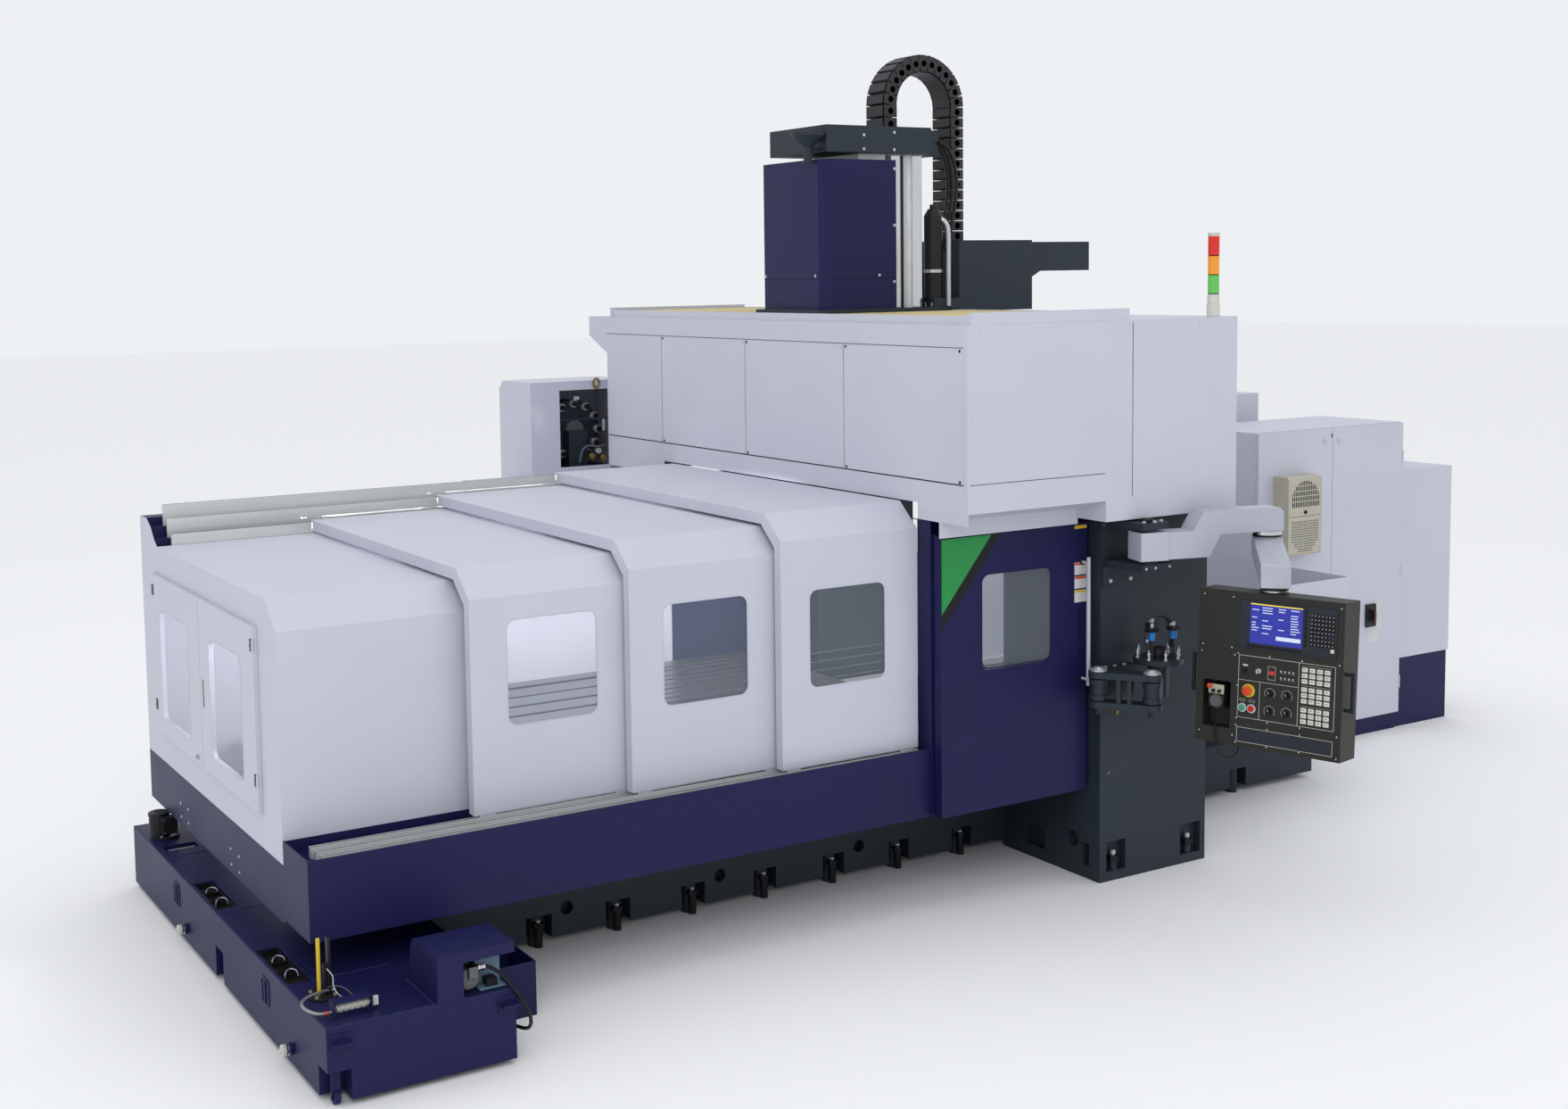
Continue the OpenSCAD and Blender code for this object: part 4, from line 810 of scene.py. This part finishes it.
# %% [markdown]
# ## Control panel
#
# Everything is placed on the panel's face: u to the right, v down from the top
# left corner, and height above the face. An image could show the keys, but real
# boxes catch light at their edges. The words on the screen are plain bars.

# %% The screen unit
panel = Shape(PANEL)
panel.box((0.282, 0.056, 0.002), (0.556, 0.252, 0.0032), "lcd_blue")
panel.box((0.282, 0.05, 0.002), (0.556, 0.056, 0.0034), "lcd_yellow")
rng = np.random.default_rng(4)
for k in range(11):
    v = 0.066 + 0.013 * k
    for u0, u1 in ((0.29, 0.33), (0.345, 0.4), (0.43, 0.48), (0.495, 0.545)):
        if rng.random() < 0.62:
            long = u0 + (u1 - u0) * (0.4 + 0.6 * rng.random())
            panel.box((u0, v, 0.0032), (long, v + 0.0045, 0.0036), "lcd_white")
panel.box((0.42, 0.206, 0.0032), (0.548, 0.226, 0.0036), "lcd_white")
for k in range(12):
    u = 0.268 + 0.0245 * k
    panel.box((u, 0.262, 0.002), (u + 0.019, 0.274, 0.005), "black", 0.001)
for k in range(9):
    panel.box((0.566, 0.058 + 0.021 * k, 0.002), (0.58, 0.073 + 0.021 * k, 0.005), "black", 0.001)
for row, col in np.ndindex(8, 7):
    if row == 5 and col > 4:
        continue
    u, v = 0.598 + 0.0182 * col, 0.072 + 0.0205 * row
    panel.box((u, v, 0.002), (u + 0.0145, v + 0.0165, 0.006), "black", 0.001)
    panel.box((u + 0.004, v + 0.005, 0.006), (u + 0.01, v + 0.008, 0.0062), "paper")
panel.box((0.704, 0.236, 0.002), (0.722, 0.254, 0.0062), "key_white", 0.001)
panel.band(rounded(0.218, 0.038, 0.734, 0.282, 0.01), rounded(0.224, 0.044, 0.728, 0.276, 0.008),
           0.002, 0.0045, "screen")

# %% [markdown]
# Thin white lines divide the key area. It holds three blocks of pale keys,
# the stop button, two round buttons, four dials, a small red display, a key
# switch and eight lamps.


# %% The key area
def outline(u0, v0, u1, v1, wide=0.0022):
    """A thin printed line round a rectangle of the panel."""
    panel.band(rectangle(u0, v0, u1, v1), rectangle(u0 + wide, v0 + wide, u1 - wide, v1 - wide),
               0, 0.0006, "line_white")


outline(0.227, 0.321, 0.733, 0.6415)
outline(0.2275, 0.691, 0.73, 0.767)
panel.strip(0.545, 0.323, 0.5472, 0.64, "line_white", 0.0006)
panel.strip(0.229, 0.4467, 0.545, 0.4487, "line_white", 0.0006)
panel.strip(0.343, 0.4487, 0.345, 0.64, "line_white", 0.0006)
panel.box((0.228, 0.692, -0.003), (0.73, 0.766, -0.0022), "screen")
for v0 in (0.343, 0.442, 0.545):
    panel.strip(0.562, v0 - 0.008, 0.714, v0 - 0.0068, "line_white", 0.0006)
    for row, col in np.ndindex(3, 4):
        u, v = 0.562 + 0.0387 * col, v0 + 0.029 * row
        panel.box((u, v, 0), (u + 0.03, v + 0.0225, 0.004), "key_white", 0.0015)
        panel.box((u + 0.006, v + 0.009, 0.004), (u + 0.021, v + 0.012, 0.0042), "grey")


def button(u, v, radius, height, tint, collar):
    """A mushroom button on a collar, in millimetres: a wide cap on a thin stem."""
    panel.turned(u, v, 0, [(0, 1.45 * radius), (4, 1.4 * radius)], collar, 28)
    profile = [(0, 0.6 * radius), (0.5 * height, 0.6 * radius), (0.55 * height, radius),
               (0.85 * height, radius), (height, 0.7 * radius)]
    panel.turned(u, v, 0, profile, tint, 28)


button(0.284, 0.5, 24, 30, "orange_red", "yellow")
button(0.254, 0.59, 16, 10, "jade", "line_white")
button(0.303, 0.59, 16, 10, "red", "line_white")
for u in (0.238, 0.29):
    outline(u, 0.545, u + 0.03, 0.557, 0.0016)
for u, v in ((0.398, 0.5), (0.488, 0.499), (0.398, 0.59), (0.488, 0.587)):
    for spot in around(u, v, 0.027, range(-210, 45, 17)):
        panel.prism(around(*spot, 0.0022, range(0, 360, 60)), 0, 0.0006, "line_white")
    panel.turned(u, v, 0, [(0, 19), (4, 18), (5, 14), (20, 12)], "black", 24)
    panel.box((u - 0.0015, v - 0.012, 0.02), (u + 0.0015, v, 0.0206), "line_white")
outline(0.384, 0.362, 0.424, 0.43, 0.0016)
panel.strip(0.391, 0.385, 0.417, 0.404, "lamp_red", 0.0015)
for row, col in np.ndindex(2, 4):
    u, v = 0.456 + 0.021 * col, 0.378 + 0.034 * row
    panel.post(u, v, 0, 0.01, 0.0048, "steel", 12, 0.001)
    panel.strip(u - 0.006, v + 0.009, u + 0.006, v + 0.0105, "line_white", 0.0006)
panel.turned(0.336, 0.392, 0, [(0, 13), (6, 13), (8, 9), (22, 8)], "steel", 20)
panel.box((0.334, 0.38, 0.022), (0.338, 0.404, 0.032), "beige", 0.001)
panel.post(0.262, 0.398, 0, 0.014, 0.011, "black", 16, 0.002)
panel.strip(0.25, 0.366, 0.276, 0.376, "line_white", 0.0006)
panel.screws([(u, v) for v in (0.03, 0.29) for u in (0.026, 0.186)]
             + [(u, v) for v in (0.326, 0.74) for u in (0.022, 0.204)]
             + [(0.75, v) for v in (0.03, 0.31, 0.665, 0.775)]
             + [(0.222, v) for v in (0.315, 0.48, 0.648, 0.684, 0.774)]
             + [(u, v) for u in (0.39, 0.56) for v in (0.313, 0.65, 0.684, 0.773)],
             "steel", 0.0042, 0.002)
panel.strip(0, 0.3005, 0.215, 0.302, "seam_dark", 0.0004)
panel.build("panel_face", "pendant")

# %% [markdown]
# The hand wheel's box stands in the recess: a stop button, two knobs on a
# beige plate and the grey wheel.

# %% The hand wheel unit
pulse = Shape(PANEL)
pulse.box((0.074, 0.4885, 0.0124), (0.158, 0.536, 0.015), "beige", 0.001)
pulse.turned(0.086, 0.497, 0.015, [(0, 8), (10, 8), (11, 13), (20, 13), (23, 8)], "orange_red", 20)
for u in (0.103, 0.135):
    pulse.turned(u, 0.522, 0.015, [(0, 10), (3, 9), (16, 7.5)], "black", 18)
wheel = [(0, 34), (4, 34), (5, 28), (16, 27), (18, 24), (17, 10)]
pulse.turned(0.116, 0.573, 0.0124, wheel, "grey", 32)
pulse.post(0.116, 0.553, 0.016, 0.026, 0.005, "black", 12, 0.001)
pulse.lathe((0.122, 0.61, -0.004), (0.122, 1.61, -0.004),
            [(0, 0.0085), (0.018, 0.0075), (0.03, 0.005)], "black", 14)
pulse.build("hand_wheel_face", "pendant")

# %% [markdown]
# ## Arms and swing link
#
# Bolts on the brackets, dark and bright rings at the joints, and the carrier's
# clamps with their two blue cylinders. All of them are turned on a lathe, so
# each is a short list of distances and radii.

# %% The arm and the tool carrier
bolts = Shape(facing_near(-1.75))
bolts.screws([(0.63, 1.65), (0.773, 1.65)], "steel", 0.012, 0.007)
bolts.move(facing_near(-2.02))
bolts.screws([(0.625, 1.748), (0.69, 1.748), (0.79, 1.748)], "steel", 0.008, 0.004)
bolts.move(WORLD)
for x, y in ((0.64, -1.985), (0.7, -2.0), (0.76, -1.985)):
    bolts.post(x, y, 1.984, 1.994, 0.011, "steel", 6)
bolts.post(0.69, -1.95, 1.984, 2.002, 0.034, "black", 24, 0.003)
for x in (0.59, 0.655, 0.722):
    bolts.post(x, -1.757, 1.185, 1.1955, 0.011, "steel", 12, 0.002)
bolts.build("bracket_bolts", "machine")

ELBOW = (1.38, -2.14)
ring = Shape()
ring.turned(*ELBOW, 1.872, [(0, 75.7), (12, 75.7)], "black", 40)
ring.turned(*ELBOW, 1.884, [(0, 76.5), (18, 76.5)], "chrome", 40)
ring.screws([(1.06, -2.3), (1.11, -2.33)], "steel", 0.006, 0.003, 1.8605)
ring.build("elbow_ring", "pendant_arm_2")
neck = Shape()
neck.turned(1.05, -2.491, 1.66, [(0, 71.2), (6, 71.2)], "chrome", 40)
neck.build("neck_ring", "pendant")

# A ground washer and cap over each pivot's pin, and brass nipples below
link_parts = Shape()
washer = [(0, 46), (8, 45), (9, 38), (14, 37), (15, 26), (20, 24)]
for x, y in ((0.5, -1.8), (0.67, -2.02)):
    link_parts.turned(x, y, 1.1905, washer, "steel", 32)
for x, y in ((0.56, -1.878), (0.5, -1.8), (0.67, -2.02)):
    link_parts.lathe((x, y, 0.9945), (x, y, -9),
                     [(0, 0.006), (0.012, 0.006), (0.013, 0.009), (0.024, 0.009),
                      (0.026, 0.004), (0.036, 0.003)], "brass", 12)
link_parts.build("link_caps", "swing_link")

TRAY = (0.82, -1.912)
tray = Shape()
posts = around(*TRAY, 0.078, (70, 200, 320))
for (x, y), tint in zip(posts, ("black_paint", "cylinder_blue", "cylinder_blue")):
    tray.box((x - 0.031, y - 0.023, 1.3915), (x + 0.031, y + 0.023, 1.4125), "black_paint", 0.003)
    tray.post(x, y, 1.345, 1.391, 0.017, tint, 20, 0.002)
    tray.post(x, y, 1.3, 1.345, 0.01, "black_paint", 16)
    tray.post(x, y, 1.4125, 1.438, 0.0095, "steel", 12, 0.002)
for x, y in around(*TRAY, 0.112, range(20, 360, 45)):
    tray.turned(x, y, 1.244, [(0, 11), (10, 11), (11, 7), (30, 7),
                              (31, 10), (40, 9), (41, 4), (55, 3)], "steel", 12)
tray.turned(*TRAY, 1.244, [(0, 60), (6, 60), (7, 45), (52, 45), (54, 30)], "black_paint", 32)
tray.build("carrier_tools", "swing_tray")

# %% [markdown]
# ## Coolant tank, pump and conveyor drive
#
# Sheet seams, strainers with wire handles in the hatches, drain caps, lifting
# lugs, the level gauge with its wires, and the pump's and the motor's parts.
# Ribs and bolts repeat at even steps, so loops place them.

# %% The coolant tank
TOP = 0.337
DRAIN_Z = 0.095
tank = Shape()
for low, high in (((-3.858, -0.523), (-3.256, -0.519)), ((-3.738, -1.562), (-3.395, -1.558)),
                  ((-3.399, -2.085), (-3.395, -1.758)), ((-3.858, 0.455), (-3.256, 0.459)),
                  ((-3.859, -2.086), (-3.388, -2.082)), ((-3.859, -2.082), (-3.855, 1.112))):
    tank.box((*low, TOP), (*high, TOP + 0.0015), "seam_blue")
for x0, x1, y0, y1 in ((-3.844, -3.743, -1.55, -1.093), (-3.844, -3.743, -0.473, -0.038)):
    tank.box((x0 + 0.001, y0 + 0.001, 0.3062), (x1 - 0.001, y1 - 0.001, 0.312), "black")
    third = (y1 - y0) / 3
    for k in range(3):
        a, b = y0 + k * third + 0.008, y0 + (k + 1) * third - 0.008
        tank.band(rectangle(x0 + 0.006, a, x1 - 0.006, b),
                  rectangle(x0 + 0.012, a + 0.006, x1 - 0.012, b - 0.006),
                  0.312, 0.33, "black_paint")
    for k in (0.8, 2.0):
        y = y0 + k * third
        handle = ((24, 0, 314), (30, 6, 338), (55, 30, 344), (78, 8, 340), (84, 0, 316))
        path = through([(1000 * x0 + a, 1000 * y + b, c) for a, b, c in handle])
        tank.tube(path, 0.003, "steel", 8)
tank.box((-3.818, 0.562, 0.3062), (-3.652, 0.648, 0.312), "black")
tank.box((-3.8, 0.6, 0.312), (-3.66, 0.612, 0.328), "steel", 0.002)
for y in (-1.64, 0.03):
    tank.rod((-3.868, y, DRAIN_Z), (-3.876, y, DRAIN_Z), 0.028, "blue_sheet", 24, 0.002)
    tank.lathe((-3.8925, y, DRAIN_Z), (-9, y, DRAIN_Z),
               [(0, 0.0255), (0.014, 0.0265), (0.018, 0.024), (0.0185, 0.012), (0.026, 0.011)],
               "lamp_plastic", 24)
    tank.rod((-3.88, y, DRAIN_Z), (-3.888, y, DRAIN_Z), 0.0255, "chrome", 24)
tank.move(facing_end(-3.862))
for y in (0.209, -1.281):
    tank.band(rounded(y - 0.052, 0.16, y + 0.052, 0.28, 0.02),
              rounded(y - 0.044, 0.168, y + 0.044, 0.272, 0.014), 0, 0.004, "blue_sheet")
    tank.box((y - 0.006, 0.168, 0), (y + 0.006, 0.272, 0.006), "blue_sheet", 0.001)
    tank.screws([(y - 0.03, 0.25), (y + 0.03, 0.25), (y - 0.03, 0.19), (y + 0.03, 0.19)],
                "seam_blue", 0.007)
tank.move(facing_near(-2.089))
for x, z in ((-3.802, 0.276), (-3.072, 0.274)):
    tank.box((x - 0.045, z - 0.034, 0), (x + 0.045, z + 0.034, 0.006), "blue_sheet", 0.002)
    tank.prism(rectangle(x - 0.04, z - 0.006, x + 0.04, z + 0.004), 0.006, 0.046, "blue_sheet")
    tank.rod((x, z + 0.0045, 0.026), (x, z + 0.0055, 0.026), 0.011, "seam_dark", 16)
tank.build("tank_fittings", "machine")

gauge = Shape()
gauge.post(-3.772, -1.745, 0.346, 0.585, 0.0085, "yellow", 16)
gauge.box((-3.736, -1.76, 0.346), (-3.722, -1.73, 0.583), "black_paint", 0.002)
for x, y in around(-3.757, -1.745, 0.056, range(45, 360, 90)):
    gauge.post(x, y, 0.346, 0.354, 0.008, "steel", 6)
gauge.tube(through([(-3740, -1752, 452), (-3728, -1790, 430), (-3735, -1820, 396),
                    (-3722, -1842, 368), (-3700, -1850, 350)]), 0.0022, "wrap_white", 6)
gauge.tube(through([(-3740, -1752, 372), (-3716, -1790, 386), (-3690, -1830, 384),
                    (-3672, -1880, 366), (-3668, -1940, 362)]), 0.0022, "grey", 6)
for x in (-3.832, -3.82):
    gauge.rod((x, -1.984, 0.36), (x + 0.005, -1.984, 0.36), 0.0092, "red", 16)
for k in range(11):
    x = -3.784 + 0.0125 * k
    start = (x, -1.984 - 0.004 * (k % 2), 0.366)
    gauge.rod(start, (x + 0.014, -1.976, 0.372), 0.0145, "wrap_white", 12)
for k in range(3):
    x = -3.628 + 0.01 * k
    gauge.rod((x, -1.984, 0.35), (x + 0.002, -1.974, 0.386), 0.007, "wrap_white", 10)
gauge.build("gauge_and_wires", "machine")

drive = Shape()
drive.lathe((-3.228, -2.045, 0.397), (-3.228, -9, 0.397),
            [(0, 0.046), (0.006, 0.045), (0.01, 0.036), (0.011, 0.012), (0.013, 0.01)], "grey", 32)
for k in range(9):
    y = -2.035 + 0.013 * k
    drive.rod((-3.228, y, 0.397), (-3.228, y + 0.005, 0.397), 0.0505, "grey", 32)
drive.lathe((-3.192, -2.049, 0.435), (9, -2.049, 0.435),
            [(0, 0.016), (0.012, 0.016), (0.013, 0.013), (0.022, 0.013), (0.023, 0.015),
             (0.032, 0.0145), (0.038, 0.01)], "chrome", 6)
drive.box((-3.184, -1.998, 0.338), (-3.066, -1.99, 0.46), "plate_blue", 0.002)
drive.box((-3.184, -2.062, 0.338), (-3.066, -1.998, 0.346), "plate_blue", 0.002)
drive.box((-3.15, -2.052, 0.346), (-3.1, -2.006, 0.38), "seam_dark", 0.002)
drive.box((-3.234, -2.0695, 0.402), (-3.194, -2.068, 0.45), "grey")
drive.build("conveyor_drive_parts", "machine")

PUMP = (-3.786, 0.846)
pump = Shape()
for k in range(6):
    z = 0.362 + 0.014 * k
    pump.post(*PUMP, z, z + 0.005, 0.0545, "black_paint", 32)
pump.post(*PUMP, 0.455, 0.472, 0.0575, "black_paint", 32, 0.003)
pump.box((-3.789, 0.7485, 0.371), (-3.715, 0.752, 0.455), "black_paint", 0.001)
for x in (-3.782, -3.722):
    for z in (0.378, 0.448):
        pump.rod((x, 0.7485, z), (x, 0.7465, z), 0.003, "steel", 8)
for x, y in around(-3.762, 0.828, 0.064, range(0, 360, 60)):
    pump.post(x, y, 0.351, 0.359, 0.007, "steel", 6)
pump.build("pump_parts", "machine")

# %% [markdown]
# ## Bed, column and rails
#
# Levelling jacks in the pockets, the column's round cover plate with screws,
# and grooves along the hood rails, drawn as thin dark strips of painted shade.

# %% The bed and the rails
feet = Shape()
for k in range(7):
    x = -2.384 + 0.442 * k
    feet.post(x, -0.925, 0, 0.1, 0.022, "black", 16)
    feet.post(x, -0.925, 0.1, 0.125, 0.03, "black_paint", 6)
    feet.post(x, -0.925, 0.125, 0.14, 0.014, "steel", 12, 0.002)
for x in (0.695, 1.25):
    feet.post(x, -1.707, 0.1, 0.132, 0.034, "black_paint", 6)
    feet.post(x, -1.707, 0.132, 0.16, 0.016, "steel", 12, 0.003)
feet.move(facing_near(-1.732))
outer, inner = (around(1.008, 1.306, r, range(0, 360, 9)) for r in (0.113, 0.108))
feet.band(outer, inner, 0, 0.0006, "seam_dark")
feet.screws([(0.936, 1.392), (0.912, 1.289), (1.003, 1.218), (1.092, 1.36)], "steel", 0.009, 0.004)
feet.screws([(0.64, z) for z in (0.6, 0.95)] + [(0.6, 1.95), (1.3, 1.95)], "grey", 0.009, 0.004)
feet.build("jacks_and_plate", "machine")

RAIL_X0, RAIL_X1, RAIL_TOP = -3.661, -0.472, 0.846
rails = Shape()
# Near rails: each groove is a thin dark strip of painted shade beside a steel ridge
for y in (-1.356, -1.43, -1.504):
    rails.box((RAIL_X0, y + 0.009, RAIL_TOP), (RAIL_X1, y + 0.015, RAIL_TOP + 0.0008), "seam_dark")
    rails.box((RAIL_X0, y - 0.001, RAIL_TOP), (RAIL_X1, y + 0.003, RAIL_TOP + 0.0014), "steel")
# Far rails: their grooves are thin dark strips of painted shade too
for y, z in ((0.835, 1.972), (0.92, 2.042), (0.998, 2.114)):
    rails.box((RAIL_X0, y - 0.003, z - 0.0004), (RAIL_X1, y + 0.003, z + 0.0006), "seam_dark")
rails.build("rail_ridges_and_groove_shade", "machine")

# %% [markdown]
# ## Cabinets
#
# Door locks, the main switch on its plate, and the cooler's grille: upright
# slots under an arch, and rows of short louvres.

# %% The cabinets
cabinet = Shape(facing_near(-0.43))
cabinet.screws([(3.835, 2.108)], "steel", 0.018, 0.008)
cabinet.box((3.896, 2.132, 0), (3.904, 2.16, 0.003), "black", 0.001)
cabinet.build("left_door_lock", "cabinet_door_left")
cabinet = Shape(facing_near(-0.43))
cabinet.screws([(3.975, 2.105)], "steel", 0.018, 0.008)
cabinet.strip(4.275, 0.758, 4.43, 0.945, "paper", 0.003)
cabinet.box((4.264, 0.776, 0.003), (4.364, 0.937, 0.02), "black_paint", 0.004)
cabinet.turned(4.316, 0.856, 0.02, [(0, 44), (4, 43), (5, 34), (14, 33)], "black_paint", 32)
cabinet.box((4.302, 0.812, 0.034), (4.33, 0.9, 0.05), "black_paint", 0.004)
cabinet.box((4.313, 0.82, 0.05), (4.319, 0.892, 0.052), "red", 0.001)
cabinet.strip(4.3, 0.662, 4.41, 0.742, "paper")
cabinet.build("main_switch", "cabinet_door_right")

cooler = Shape(facing_near(-0.56))
for k in range(15):
    x = 3.372 + 0.0178 * k
    rise = math.sqrt(max(0, 1 - ((x - 3.4966) / 0.138) ** 2))
    cooler.strip(x, 1.7, x + 0.0085, 1.725 + 0.15 * rise, "seam_dark", 0.001)
for z in (1.735, 1.77, 1.805, 1.84):
    cooler.box((3.366, z, 0.001), (3.63, z + 0.007, 0.0025), "cooler_paint")
for row in range(13):
    z = 1.4 + 0.0165 * row
    half = 4 if row > 3 else 2 + row // 2
    for k in range(-half, half + 1):
        x = 3.4975 + 0.029 * k
        cooler.strip(x - 0.011, z, x + 0.011, z + 0.0055, "grey", 0.001)
        cooler.strip(x - 0.011, z + 0.0055, x + 0.011, z + 0.0085, "cooler_paint", 0.003)
cooler.turned(3.5, 1.664, 0, [(0, 13), (6, 12), (7, 7), (12, 6)], "black", 20)
cooler.band(rounded(3.347, 1.384, 3.648, 1.894, 0.012), rounded(3.351, 1.388, 3.644, 1.89, 0.01),
            0, 0.001, "beige")
cooler.strip(3.347, 1.636, 3.648, 1.639, "seam", 0.001)
cooler.build("cooler_grille", "machine")

# %% [markdown]
# ## Tool magazine
#
# Brackets, grippers and hoses in the opening, and a lifting eye in front.

# %% The tool magazine
magazine = Shape()
eye = [(-0.394 + 0.8 * x, 2.192, 2.582 + z) for x, z in around(0, 0, 0.03, range(0, 360, 15))]
magazine.tube(eye, 0.007, "brass", 10, closed=True)
magazine.post(-0.394, 2.192, 2.538, 2.556, 0.012, "brass", 16, 0.002)
for x, z in around(-0.488, 2.25, 0.185, range(0, 360, 30)):
    if z > 2.02:
        magazine.rod((x, 2.388, z), (x, 2.35, z), 0.03, "steel", 16, 0.004)
        magazine.rod((x, 2.35, z), (x, 2.326, z), 0.018, "black_paint", 16, 0.004)
magazine.rod((-0.488, 2.39, 2.25), (-0.488, 2.34, 2.25), 0.07, "grey", 24, 0.006)
magazine.box((-0.674, 2.206, 2.33), (-0.303, 2.216, 2.342), "casting_paint", 0.001)
magazine.box((-0.56, 2.207, 2.47), (-0.52, 2.214, 2.495), "steel", 0.001)
magazine.box((-0.345, 2.207, 2.25), (-0.325, 2.214, 2.33), "steel", 0.001)
for x, z, tint in ((-0.42, 2.075, "brass"), (-0.37, 2.11, "steel"), (-0.335, 2.06, "brass")):
    magazine.rod((x, 2.25, z), (x, 2.214, z), 0.022, tint, 16, 0.004)
magazine.tube(through([(-520, 2220, 2040), (-500, 2215, 2120), (-450, 2215, 2150),
                       (-380, 2215, 2140), (-320, 2220, 2150)]), 0.008, "grey", 8)
magazine.build("magazine_parts", "machine")

# %% [markdown]
# ## The setting
#
# A pale floor under soft light from above and from the operator's side. Large
# area lamps give the soft shadows of a studio.

# %% Floor, lamps and view
HALF = 80
ground = Shape()
floor = [(*corner, -0.0005) for corner in rectangle(-HALF, -HALF, HALF, HALF)]
ground.add(floor, [(0, 1, 2, 3)], "floor")
ground.build("ground", None)

world = bpy.data.worlds.new("studio")
scene.world = world
world.use_nodes = True
world.node_tree.nodes["Background"].inputs[0].default_value = (0.95, 0.97, 1, 1)
world.node_tree.nodes["Background"].inputs[1].default_value = 0.9


def lamp(name, place, target, size, power):
    """A square area lamp at a place, turned toward the target."""
    data = bpy.data.lights.new(name, "AREA")
    data.size = size
    data.energy = power
    light = bpy.data.objects.new(name, data)
    scene.collection.objects.link(light)
    light.location = place
    light.rotation_euler = (Vector(target) - Vector(place)).to_track_quat("-Z", "Y").to_euler()


lamp("key", (-7, -11, 9), (0, 0, 1.5), 6, 260)
lamp("top", (-1, 0, 12), (0, 0, 0), 8, 120)
# Work lights inside the guard
for x in (-3.2, -2.3, -1.5, -0.6, 0.1):
    lamp("work_light", (x, -0.6, 1.7), (x, 1.1, 1.3), 0.15, 12)
scene.view_settings.view_transform = "Standard"
